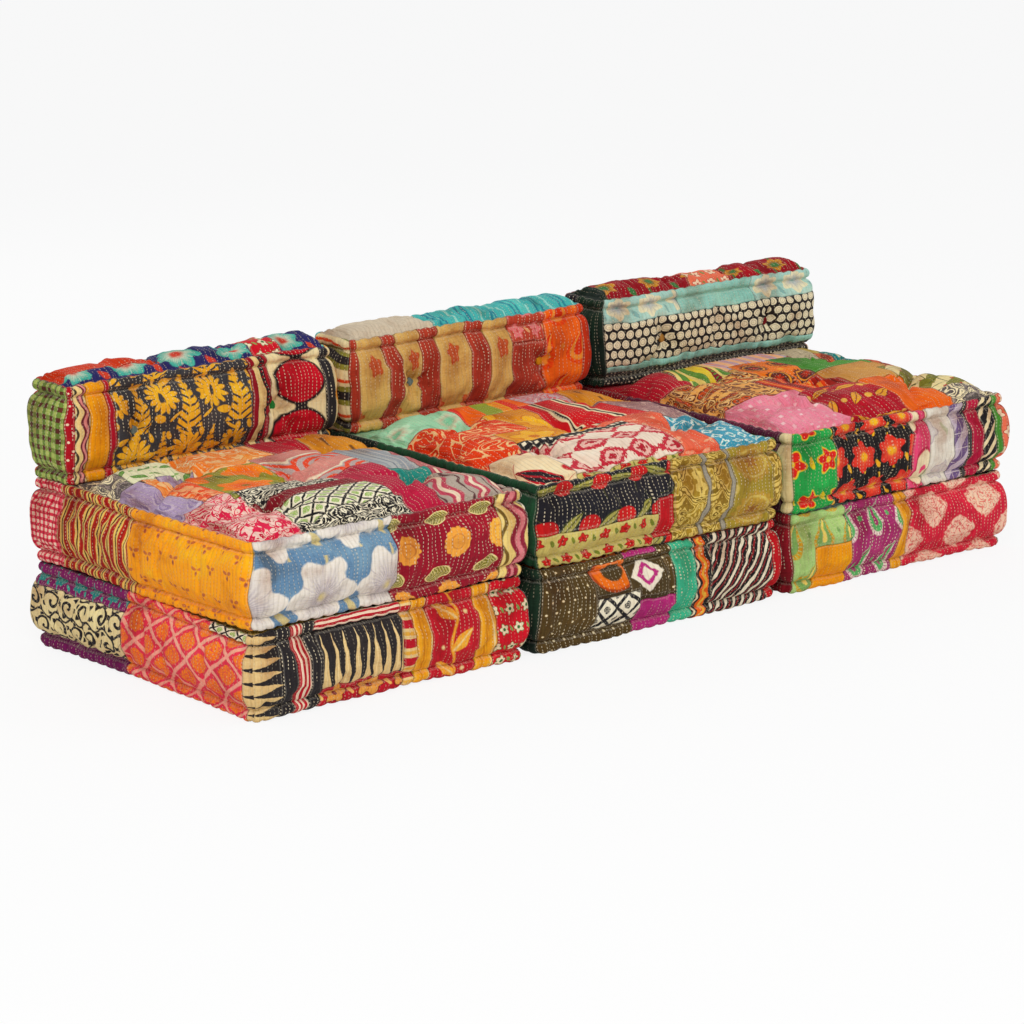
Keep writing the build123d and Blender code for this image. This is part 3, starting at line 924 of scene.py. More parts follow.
FABRICS: dict[str, Fabric] = {
    # fronts and ends of the seats
    "denim_blossom": Fabric(
        Motif.BLOSSOM, (0.15, 0.15), "#6488a7 #eee3d4 #b3a5aa #d7c286", 0.49, 0.05, start=(0.55, 0.1)
    ),
    "maroon_discs": Fabric(
        Motif.DISCS, (0.1, 0.054), "#971227 #f5a63f #847d2d #f4dd93", 0.44, 0.4, start=(0.2, 0.42), stitch=0.75
    ),
    "wavy_edge": Fabric(Motif.RIBBON, (0.086, 0.075), "#f4d57e #952136 #e68488 #765a20", 0.19, 0.07),
    "saffron_sprigs": Fabric(Motif.DABS, (0.047, 0.044), "#ffa315 #c86a35 #9b4c40", 0.1, 0.05, stitch=0.25),
    "ticking": Fabric(Motif.STRIPES, (0.0215, 0.1), "#e3b65a #ad2416 #95120c #3a241a", 0.25, 0.09),
    "pink_check": Fabric(Motif.CHECK, (0.0125, 0.0125), "#f5c8b0 #e14154 #dc354a #b20e2a", 0.24),
    "night_leaves": Fabric(
        Motif.LEAVES, (0.092, 0.08), "#1d1b22 #a39a4a #3c4020 #c81818", 0.25, 0.24, start=(0.3, 0.35), stitch=0.75
    ),
    "olive_sprigs": Fabric(Motif.FLOWERS, (0.05, 0.046), "#cfbb65 #cd2119 #921a12 #757e29", 0.22, 0.06),
    "signal_red": plain("#d01118 #bb0d18", 0.3, stitch=0.75),
    "brocade": Fabric(Motif.SCROLLS, (0.12, 0.13), "#ad8928 #e5c465 #81641a #957421", 0.24, 0.02, stitch=0),
    "silver_cord": Fabric(Motif.SPIKES, (0.006, 0.011), "#988f7d #e1d5b7 #f4e7c8", 0.45, stitch=0, turn=20),
    "gold_rosettes": Fabric(Motif.MEDALLION, (0.12, 0.1), "#a38a2b #b88f33 #cdb055 #a0682a", 0.4, 0.12, stitch=0.75),
    "leaf_green": Fabric(Motif.FLOWERS, (0.085, 0.08), "#24a346 #df2016 #f5c825 #f0d222", 0.3, 0.08),
    "black_blossom": Fabric(Motif.BLOSSOM, (0.08, 0.074), "#1a1617 #dc2c20 #f4623c #f2ae1e", 0.43, 0.12),
    "pink_moons": Fabric(Motif.DOTS, (0.07, 0.12), "#ee4976 #f5dfb4 #c3204b #ee4976", 0.34, 0.1),
    "cloud_white": Fabric(Motif.FLOWERS, (0.09, 0.09), "#e7ddcb #d5c9bf #c2b4b2 #ced2b0", 0.24, 0.05),
    "lilac_teeth": Fabric(Motif.BLOCKS, (0.022, 0.03), "#c4b2be #725883 #e5d4d4 #c4b2be", 0.1, 0.01),
    "slant_black": Fabric(Motif.STRIPES, (0.019, 0.1), "#1d191a #eed8a7 #eed8a7 #1d191a", 0.2, 0.02, turn=38),
    "salmon_sprigs": Fabric(Motif.FLOWERS, (0.04, 0.04), "#ed704f #f5d2ac #b22727 #738e48", 0.3, 0.08),
    "green_velvet": plain("#1f4a2c #173a24", stitch=0, wear=0.15),
    "plum": plain("#5f1834 #471730", stitch=0.2),
    # fronts and ends of the bases
    "side_spikes": Fabric(Motif.SPIKES, (0.0235, 0.072), "#2b2627 #e5c182", 0.46, 0.01, turn=90, stitch=0.3),
    "black_dashed": plain("#2b2627 #231f21", stitch=1.0, wear=0.15),
    "candy_stripe": Fabric(Motif.STRIPES, (0.0098, 0.1), "#f5d9bc #be1326", 0.27, 0.01, stitch=0.2),
    "tall_spikes": Fabric(Motif.SPIKES, (0.0225, 0.135), "#2b2627 #e5c182 #f4d599", 0.38, 0.03, stitch=0.3),
    "gold_stars": Fabric(Motif.FLOWERS, (0.078, 0.062), "#be1728 #e69d43 #84111c #f5c064", 0.34, 0.07),
    "ladder": Fabric(Motif.STRIPES, (0.034, 0.1), "#c31428 #f2cf8b #eeb142 #c31428", 0.26, 0.1, turn=90),
    "gold_band": Fabric(Motif.STRIPES, (0.036, 0.1), "#f5ad25 #f0a31c #d58610 #f5db9b", 0.3, 0.05),
    "red_vine": Fabric(Motif.VINE, (0.104, 0.118), "#c11526 #f4a82e #f5d995 #f5d794", 0.25, 0.035),
    "red_sprigs": Fabric(Motif.FLOWERS, (0.036, 0.036), "#d00c22 #f5e1b9 #3a6d32 #82a551", 0.28, 0.09),
    "purple_teal": Fabric(Motif.BLOSSOM, (0.055, 0.044), "#7a1857 #25857c #186d68 #2aa58c", 0.31, 0.05),
    "black_arabesque": Fabric(Motif.CURLS, (0.052, 0.046), "#e9d196 #1f1a1c #e9cf91 #e9cf91", 0.17, 0.05),
    "purple": plain("#751655 #621046"),
    "orange_net": Fabric(Motif.LATTICE, (0.082, 0.066), "#e12f49 #f5a089 #e12f49 #f57d1a", 0.065, 0.33),
    "olive_dots": Fabric(Motif.DOTS, (0.024, 0.021), "#54401d #e9d6a6 #62471a #f5e5ba", 0.1, 0.05, stitch=0.75),
    "orange_loop": Fabric(Motif.DOTS, (0.11, 0.09), "#4b3a1c #ee7012 #b24008 #4b3a1c", 0.4, 0.22),
    "magenta": plain("#c02c7c #aa226c"),
    "white_diamond": Fabric(Motif.IKAT, (0.098, 0.092), "#4b3a1c #f5e8cf #c02c7c #f5e8cf", 0.17, 0.02),
    "pebble_print": Fabric(Motif.LATTICE, (0.052, 0.044), "#f5e9cc #1f1c20 #f5e9cc #1f1c20", 0.1, 0.2),
    "teal_band": plain("#46c595 #36ad82", stitch=0.75),
    "scallops": Fabric(Motif.RIBBON, (0.046, 0.034), "#1f1a1a #f06411 #f5b83d #e5d4ae", 0.22, 0.07),
    "flecked_slant": Fabric(Motif.BANDS, (0.02, 0.016), "#1d1b1d #efe0c2 #1d1b1d #8a2226", turn=35),
    "flame_paisley": Fabric(Motif.PAISLEY, (0.078, 0.09), "#accf7a #d5a125 #80a959 #f4d563", 0.33, 0.08),
    "magenta_paisley": Fabric(Motif.PAISLEY, (0.075, 0.096), "#aa2f6a #f0d5ca #5bb362 #aa2f6a", 0.28, 0.07, stitch=1.0),
    "crimson_diamonds": Fabric(
        Motif.LATTICE, (0.15, 0.135), "#d5213a #be1330 #cb1a35 #f5c5a8", 0.01, 0.36, stitch=0.75
    ),
    # backs
    "crimson_dots": Fabric(Motif.DOTS, (0.016, 0.016), "#b20b1d #f5d6b4 #b20b1d #f5d6b4", 0.14, 0.03, stitch=0.75),
    "winding_floral": Fabric(Motif.RIBBON, (0.044, 0.042), "#f0d087 #722531 #e68d86 #3c3226", 0.16, 0.06),
    "golden": plain("#f5a107 #ee9301", thread="#f5d17c"),
    "crimson": plain("#bb0d24 #a3081f"),
    "gold_arabesque": Fabric(Motif.SPRAYS, (0.112, 0.105), "#3a383b #efac22 #3a383b #3a383b", 0.31, 0.09, stitch=0.75),
    "three_stripes": Fabric(Motif.BANDS, (0.044, 0.03), "#920f1f #eed087 #2a2024 #ad1c28"),
    "red_ovals": Fabric(Motif.OVALS, (0.138, 0.098), "#f2dca4 #c3071f #1f181a #1f181a", 0.4, 0.12, stitch=0.75),
    "cream": plain("#f0daa4 #e1c789"),
    "green_check": Fabric(Motif.CHECK, (0.019, 0.019), "#a9b65c #6b8436 #7a8c3c #5a2a20", 0.24),
    "orange_red": plain("#d43504 #c02c02"),
    "navy_floral": Fabric(Motif.BLOSSOM, (0.12, 0.11), "#27255d #42af99 #e9ddbe #ce3d26", 0.36, 0.1),
    "brick_dashed": plain("#bb3f28 #a93421", stitch=0.75),
    "tan_sprays": Fabric(
        Motif.FLOWERS, (0.074, 0.106), "#dcae5d #dd6a3a #d0541f #dcae5d", 0.17, 0.03, start=(0.5, 0.1)
    ),
    "orange_paisley": Fabric(Motif.PAISLEY, (0.08, 0.085), "#f5640e #f04504 #f5902d #e53402", 0.34, 0.12),
    "brick_floral": Fabric(Motif.FLOWERS, (0.05, 0.05), "#bb3f28 #e67875 #ce4f48 #e69d64", 0.34, 0.08, stitch=0.75),
    "wavy_bands": Fabric(Motif.RIBBON, (0.068, 0.15), "#e5d09b #817d2d #221c1c #d44315", 0.27, 0.12, turn=90),
    "grey_beige": plain("#d5c3a7 #c7b398", 0.3, stitch=0.2),
    "turquoise": Fabric(Motif.STRIPES, (0.062, 0.1), "#48b4ad #2a8493 #48b4ad #93d3c4", 0.14, 0.05),
    "aqua_blossom": Fabric(Motif.BLOSSOM, (0.085, 0.075), "#a9d2c2 #ece0b4 #8d9fb2 #86b1a8", 0.4, 0.05),
    "oval_comb": Fabric(Motif.COMB, (0.0212, 0.0188), "#211c1c #f1e2bd #bfae8b #e2d3a6", 0.41, 0.09),
    "aqua": plain("#9dd2bf #89c2b0"),
    "speckled_black": Fabric(Motif.DASHES, (0.012, 0.01), "#1d1a1b #e5d7b6 #988d74", 0.16, 0.22),
    "bottle_green": plain("#18301f #121a16", stitch=0.3),
    "garnet_floral": Fabric(Motif.BLOSSOM, (0.125, 0.11), "#960d1a #cf8a24 #2a1a1a #3a7338", 0.23, 0.08),
    # tops
    "leafy_white": Fabric(Motif.LEAVES, (0.05, 0.036), "#ede8ba #719f49 #4b7e34 #91b564", 0.36, 0.08),
    "peach_paisley": Fabric(Motif.SCROLLS, (0.19, 0.16), "#f5bb7a #f47b22 #f59343 #f5d7a4", 0.24, 0.14),
    "ochre_strokes": Fabric(Motif.DASHES, (0.06, 0.042), "#dc8b1d #2c2220 #925610", 0.055, 0.32),
    "lavender": Fabric(Motif.PAISLEY, (0.05, 0.05), "#b29ab6 #cbb5c4 #967fa5 #b29ab6", 0.3, 0.08),
    "coral_fronds": Fabric(Motif.SCROLLS, (0.17, 0.14), "#ea4c1a #f5a66c #d03508 #f56a21", 0.22, 0.17),
    "olive_orange": Fabric(Motif.BLOSSOM, (0.12, 0.1), "#958d25 #f57c0e #e64805 #646d19", 0.45, 0.06),
    "lilac_fans": Fabric(Motif.FANS, (0.1, 0.085), "#bea59d #ea451f #d58679 #f5e2bf", 0.24),
    "grey_blue": Fabric(Motif.STRIPES, (0.05, 0.1), "#95999c #adaeaa #80858b #c0b7ae", 0.2, 0.05),
    "dusty_pink": plain("#c46d6b #b5605f"),
    "teal": plain("#26927f #1f8073"),
    "pink_scrolls": Fabric(Motif.SCROLLS, (0.11, 0.11), "#dc1c46 #f5c9b9 #c00930 #ee5269", 0.26, 0.2),
    "magenta_red": plain("#c0173d #ad1037"),
    "bold_blocks": Fabric(Motif.SCROLLS, (0.1, 0.08), "#f5e9ca #1d1a1c #f5e9ca #f5e9ca", 0.3, 0.23),
    "green_blocks": Fabric(Motif.LATTICE, (0.036, 0.03), "#f5e9ca #1d1a1c #f5e9ca #88b136", 0.09, 0.27),
    "garnet": plain("#84111e #720c18"),
    "rose_stripes": Fabric(Motif.RIBBON, (0.054, 0.06), "#b4a392 #c04558 #f0d5b5 #5f3738", 0.22, 0.07),
    "mint": Fabric(Motif.BLOSSOM, (0.12, 0.11), "#a2dcae #bfe9bd #ee8376 #87ca9c", 0.26, 0.1),
    "orange_swirls": Fabric(Motif.SCROLLS, (0.26, 0.22), "#e53a06 #f5c07e #e53a06 #d43002", 0.15, 0.26),
    "fiesta": Fabric(Motif.BANDS, (0.12, 0.045), "#f5650e #919f25 #ee9512 #e52e13", turn=12),
    "golden_tan": Fabric(Motif.FLOWERS, (0.12, 0.11), "#e69116 #f4ae22 #d47308 #d57f0c", 0.4, 0.1),
    "lilac_rose": Fabric(Motif.SCROLLS, (0.12, 0.1), "#c4a4a3 #d5686c #98808a #dfc2b7", 0.28, 0.29),
    "red_bars": Fabric(Motif.STRIPES, (0.075, 0.1), "#d00c15 #f5dfaf #1f1a1c #d00c15", 0.12, 0.05),
    "olive_bands": Fabric(Motif.BANDS, (0.055, 0.03), "#25201c #958d2b #eedaa5 #b22427", turn=8),
    "rose_grey": Fabric(Motif.SCROLLS, (0.05, 0.05), "#b2837b #926968 #cba092 #b2837b", 0.2, 0.32),
    "cream_motif": Fabric(Motif.LEAVES, (0.13, 0.12), "#f5dbac #1f1a1e #c31725 #c31725", 0.24, 0.13),
    "rose_ikat": Fabric(Motif.IKAT, (0.076, 0.064), "#f3dcc3 #c8283a #f0b9a8 #b51a2c", 0.23, 0.13),
    "chequers": Fabric(Motif.CHECK, (0.016, 0.016), "#f5e6c2 #1f1c1e #1f1c1e #1f1c1e", 0.25, stitch=0.2),
    "coral": Fabric(Motif.DABS, (0.045, 0.045), "#ed6442 #f5ab81 #ce3f2a", 0.12, 0.05),
    "lagoon": Fabric(Motif.IKAT, (0.034, 0.027), "#3f9bb2 #e6eee0 #5cb8ba #2d7f9f", 0.2, 0.16),
    "meadow_stripes": Fabric(Motif.BANDS, (0.05, 0.03), "#608e36 #e9c434 #841a29 #f0d274", turn=10),
    "peach_stripes": Fabric(Motif.STRIPES, (0.036, 0.1), "#f5b17d #bea2b2 #e6845c #f5b17d", 0.25, 0.06),
    "beige_grey": Fabric(Motif.SCROLLS, (0.14, 0.14), "#c3b08c #aa997c #d5c39d #c3b08c", 0.2, 0.35),
    "olive_tan": Fabric(Motif.DASHES, (0.05, 0.04), "#b2933a #766324 #d5b658", 0.1, 0.3),
    "beige_print": Fabric(Motif.SCROLLS, (0.18, 0.15), "#eca651 #72351a #ce4c15 #f5bf73", 0.24, 0.38),
    "dark_medallions": Fabric(Motif.MEDALLION, (0.075, 0.07), "#ee7312 #62251a #f59c21 #c33217", 0.36, 0.12),
    "ember_stripes": Fabric(Motif.STRIPES, (0.042, 0.1), "#981707 #e54211 #f5942f #621009", 0.25, 0.06),
    "apple_green": plain("#4c932b #408325", stitch=0.4),
    "tan": plain("#d59847 #c68738"),
    "brick_border": Fabric(Motif.BLOCKS, (0.03, 0.03), "#983116 #ce5626 #621e0d #ce5626", 0.2, 0.1),
    "teal_dashes": Fabric(Motif.DASHES, (0.03, 0.02), "#15837d #f0e1b5 #d3dab8", 0.1, 0.26),
    "olive_steps": Fabric(Motif.BLOCKS, (0.042, 0.034), "#eed898 #817d27 #4c4a24 #c33925", 0.15, 0.1),
    "pink_flecks": Fabric(Motif.DASHES, (0.022, 0.018), "#ef8699 #f8d0cc #e37088", 0.16, 0.2),
    "crimson_gold": Fabric(Motif.LEAVES, (0.075, 0.065), "#b20b21 #e69d28 #810a18 #eeb344", 0.36, 0.1),
    "orange": plain("#f56c11 #e85e0a"),
    "cream_print": Fabric(Motif.SCROLLS, (0.14, 0.14), "#f4e1b3 #5f5551 #95867d #f4e1b3", 0.26, 0.41),
    # buttons
    "button_green": plain("#278e3d #217c34", 0.1, stitch=0),
    "button_grey": plain("#74837d #637170", 0.1, stitch=0),
    "button_mustard": plain("#df9713 #cc870b", 0.1, stitch=0),
    "button_red": plain("#840e16 #700a12", 0.1, stitch=0),
    "button_tan": plain("#c08841 #b07a36", 0.1, stitch=0),
}


@dataclass(frozen=True)
class Patch:
    """A piece of cloth in a panel, from left to right and from low to high in shares of the panel."""

    fabric: str
    left: float = 0.0
    right: float = 1.0
    low: float = 0.0
    high: float = 1.0
    turned: bool = False


@dataclass(frozen=True)
class Cover:
    """The patches of a cushion's panels and of the four sides of its boxing band."""

    top: tuple[Patch, ...]
    bottom: tuple[Patch, ...]
    front: tuple[Patch, ...]
    right: tuple[Patch, ...]
    rear: tuple[Patch, ...]
    left: tuple[Patch, ...]

    def sides(self) -> tuple[tuple[Patch, ...], ...]:
        """The band's sides in the order in which it goes round: front, right, rear and left."""
        return self.front, self.right, self.rear, self.left


def cubic_weights(coarse: Array, fine: Array) -> Array:
    """Weights that carry values on coarse lines to fine ones by a smooth curve through them.

    Between two coarse lines the curve is the cubic whose slope at each of them is that of the chord between
    its neighbours.

    Args:
        coarse: Places of the coarse lines, rising.
        fine: Places to carry the values to.

    Returns:
        A matrix with a row for each fine place and a column for each coarse line.
    """
    count = len(coarse)
    i = np.clip(np.searchsorted(coarse, fine, side="right") - 1, 0, count - 2)
    t = (fine - coarse[i]) / (coarse[i + 1] - coarse[i])
    weights = np.zeros((len(fine), count))
    rows = np.arange(len(fine))
    np.add.at(weights, (rows, np.clip(i - 1, 0, None)), -0.5 * t + t**2 - 0.5 * t**3)
    np.add.at(weights, (rows, i), 1 - 2.5 * t**2 + 1.5 * t**3)
    np.add.at(weights, (rows, i + 1), 0.5 * t + 2 * t**2 - 1.5 * t**3)
    np.add.at(weights, (rows, np.clip(i + 2, None, count - 1)), -0.5 * t**2 + 0.5 * t**3)
    return weights


def looped_weights(count: int, length: float, fine: Array) -> Array:
    """The same weights for evenly spaced lines on a loop, where the last line is next to the first."""
    knots = np.arange(-2, count + 3) * (length / count)
    open_weights = cubic_weights(knots, fine)
    weights = np.zeros((len(fine), count))
    for column, knot in enumerate(np.arange(-2, count + 3) % count):
        weights[:, knot] += open_weights[:, column]
    return weights


def lumps(rng: Draws, x: Array, y: Array, cell: float) -> Array:
    """Gentle lumps over a plane: random values on a square net, joined by smooth curves.

    Args:
        rng: Source of the random values.
        x: Places of the columns.
        y: Places of the rows.
        cell: Size of a lump.

    Returns:
        A value of about -1 to 1 for each row and column.
    """
    across, up = (np.arange(v.min() - cell, v.max() + 2 * cell, cell) for v in (x, y))
    values = rng.uniform(-1, 1, (len(up), len(across)))
    return cubic_weights(up, y) @ values @ cubic_weights(across, x).T


def looped_lumps(
    rng: Draws, along: Array, length: float, up: Array, cell: float, tall: float
) -> Array:
    """The same round a band, which joins up with itself.

    Args:
        rng: Source of the random values.
        along: Places of the columns.
        length: Of the whole loop.
        up: Places of the rows.
        cell: Length of a lump along the band.
        tall: Height of a lump.

    Returns:
        A value of about -1 to 1 for each row and column.
    """
    count = max(4, round(length / cell))
    knots = np.arange(up.min() - tall, up.max() + 2 * tall, tall)
    values = rng.uniform(-1, 1, (len(knots), count))
    return cubic_weights(knots, up) @ values @ looped_weights(count, length, along).T


def snapped(lines: Array, places: Sequence[float]) -> Array:
    """Moves the nearest of a panel's lines onto each seam, and leaves the outermost where they are."""
    lines = lines.copy()
    for place in sorted(set(places)):
        nearest = int(np.argmin(np.abs(lines - place)))
        if 0 < nearest < len(lines) - 1:
            lines[nearest] = place
    return lines


def grid_object(name: str, points: Array, around: bool = False, flip: bool = False) -> Piece:
    """Makes a mesh of four-sided faces from points in rows and columns.

    Args:
        name: The object's name.
        points: Its points.
        around: Whether the last column joins the first.
        flip: Whether to turn the faces over.

    Returns:
        The object, linked to the scene.
    """
    rows, columns = points.shape[:2]
    number = np.arange(rows * columns).reshape(rows, columns)
    if around:
        number = np.hstack([number, number[:, :1]])
    quads = cell_corners(number, flip).reshape(-1, 4)
    mesh = bpy.data.meshes.new(name)
    mesh.vertices.add(rows * columns)
    mesh.vertices.foreach_set("co", points.astype(np.float32).ravel())
    mesh.loops.add(quads.size)
    mesh.loops.foreach_set("vertex_index", quads.astype(np.int32).ravel())
    mesh.polygons.add(len(quads))
    mesh.polygons.foreach_set("loop_start", np.arange(0, quads.size, 4, dtype=np.int32))
    mesh.polygons.foreach_set("use_smooth", np.ones(len(quads), bool))
    mesh.update(calc_edges=True)
    return in_scene(name, mesh)


def in_scene(name: str, data: bpy.types.ID) -> Piece:
    """Puts a mesh, a lamp or a camera into the scene as an object."""
    piece = bpy.data.objects.new(name, data)
    bpy.context.scene.collection.objects.link(piece)
    return piece


def cell_corners(grid: Array, flip: bool) -> Array:
    """The values at each cell's four corners, in the order in which its face goes round."""
    corners = np.stack([grid[:-1, :-1], grid[:-1, 1:], grid[1:, 1:], grid[1:, :-1]], -1)
    return corners[..., ::-1] if flip else corners


def outward(points: Array, around: bool) -> Array:
    """Unit normals of a net of points: the cross product of its steps along and across.

    Args:
        points: In rows and columns, where columns go to the right and rows go up as seen from outside.
        around: Whether the last column joins the first.

    Returns:
        A normal for each point.
    """
    if around:
        along = np.roll(points, -1, 1) - np.roll(points, 1, 1)
    else:
        along = np.gradient(points, axis=1)
    normal = np.cross(along, np.gradient(points, axis=0))
    return normal / np.maximum(np.linalg.norm(normal, axis=-1, keepdims=True), 1e-12)


def drawn_off(points: Array, along: Array, up: Array, around: bool) -> Array:
    """Moves each point of a net over the surface, in straight lines between the four points round its new place.

    Args:
        points: The net's points.
        along: How many cells along each of them moves.
        up: How many cells up.
        around: Whether the last column joins the first.

    Returns:
        The moved points.
    """
    rows, columns = points.shape[:2]
    row = np.clip(np.arange(rows)[:, None] + up, 0, rows - 1)
    column = np.arange(columns) + along
    if not around:
        column = np.clip(column, 0, columns - 1)
    below = np.minimum(row.astype(int), rows - 2)
    before = np.floor(column).astype(int) if around else np.minimum(column.astype(int), columns - 2)
    share_up, share_along = (row - below)[..., None], (column - before)[..., None]
    after, before = (before + 1) % columns, before % columns
    low = points[below, before] * (1 - share_along) + points[below, after] * share_along
    high = points[below + 1, before] * (1 - share_along) + points[below + 1, after] * share_along
    return low * (1 - share_up) + high * share_up


def grooved(points: Array, distance: Array, around: bool, below: bool) -> Array:
    """Sinks the sewn seams into the padding by exp(-(distance / reach) ** 2), and leaves the borders alone."""
    sink = SEAM_GROOVE * np.exp(-((distance / SEAM_GROOVE_REACH) ** 2))
    sink[0] = sink[-1] = 0
    if not around:
        sink[:, 0] = sink[:, -1] = 0
    return points + outward(points, around) * (sink if below else -sink)[..., None]


def blown_up(points: Array, pinned: Array, around: bool, growth: float) -> Array:
    """Blows a sheet of cloth up from behind by simulation, with some of its points sewn down.

    The cloth is cut a little larger than the form that it starts from, so it swells and wrinkles between
    the points that hold it.

    Args:
        points: The sheet's points in rows and columns.
        pinned: Which of them stay where they are.
        around: Whether the last column joins the first.
        growth: How much larger the cloth is cut, as a share.

    Returns:
        How far each point moves.
    """
    piece = grid_object("blown_up", points, around)
    piece.vertex_groups.new(name="pins").add(np.flatnonzero(pinned.ravel()).tolist(), 1.0, "REPLACE")
    cloth = piece.modifiers.new("Cloth", "CLOTH")
    settings = cloth.settings
    for name, value in BLOWN_CLOTH.items():
        setattr(settings, name, value)
    settings.vertex_group_mass = "pins"
    settings.shrink_min = -growth
    settings.effector_weights.gravity = 0
    cloth.collision_settings.use_collision = False
    cloth.point_cache.frame_end = PUFF_FRAMES
    for step in range(1, PUFF_FRAMES + 1):
        bpy.context.scene.frame_set(step)
    settled = piece.evaluated_get(bpy.context.evaluated_depsgraph_get()).to_mesh()
    after = np.empty(points.size, np.float32)
    settled.vertices.foreach_get("co", after)
    mesh = piece.data
    bpy.data.objects.remove(piece)
    bpy.data.meshes.remove(mesh)
    bpy.context.scene.frame_set(1)
    return after.reshape(points.shape) - points


def belly_setback(share: Array) -> Array:
    """Setback of the side's belly at shares of its height: it stands out by (1 - |2t - 1| ** 2.6) ** 0.62."""
    full = np.clip(1 - np.abs(2 * share - 1) ** 2.6, 0, 1)
    return GROOVE_SETBACK - BELLY * full**0.62


@dataclass(frozen=True)
class Tuft:
    """Where a button pulls a panel in: its place on the panel, and the hollow round it."""

    x: float
    y: float
    radius: float
    depth: float

    def hollow(self, rng: Draws, x: Array, y: Array) -> Array:
        """How far the cloth is pulled in at each place.

        The depth falls off with the distance r as exp(-(r / reach) ** 1.4). Pleats that fan out from the
        button are a cosine of the angle, strongest at a quarter of the hollow's radius.

        Args:
            rng: Source of the pleats' number and turn.
            x: Places along the panel.
            y: Places across it.

        Returns:
            The depth at each place.
        """
        r = np.hypot(x - self.x, y - self.y)
        angle = np.arctan2(y - self.y, x - self.x)
        pleats = int(rng.integers(6, 10))
        wave = np.cos(pleats * angle + rng.uniform(0, math.tau)) + 0.5 * np.cos(3 * angle + rng.uniform(0, math.tau))
        near = r / (PLEAT_SHARE * self.radius)
        fan = PLEAT_DEPTH_SHARE * self.depth * wave * near**2 * np.exp(1 - near**2)
        fan += PLEAT_DEPTH_SHARE * self.depth * wave * near * np.exp(1 - near) * 0.6
        return self.depth * np.exp(-((r / (HOLLOW_REACH_SHARE * self.radius)) ** 1.4)) + fan


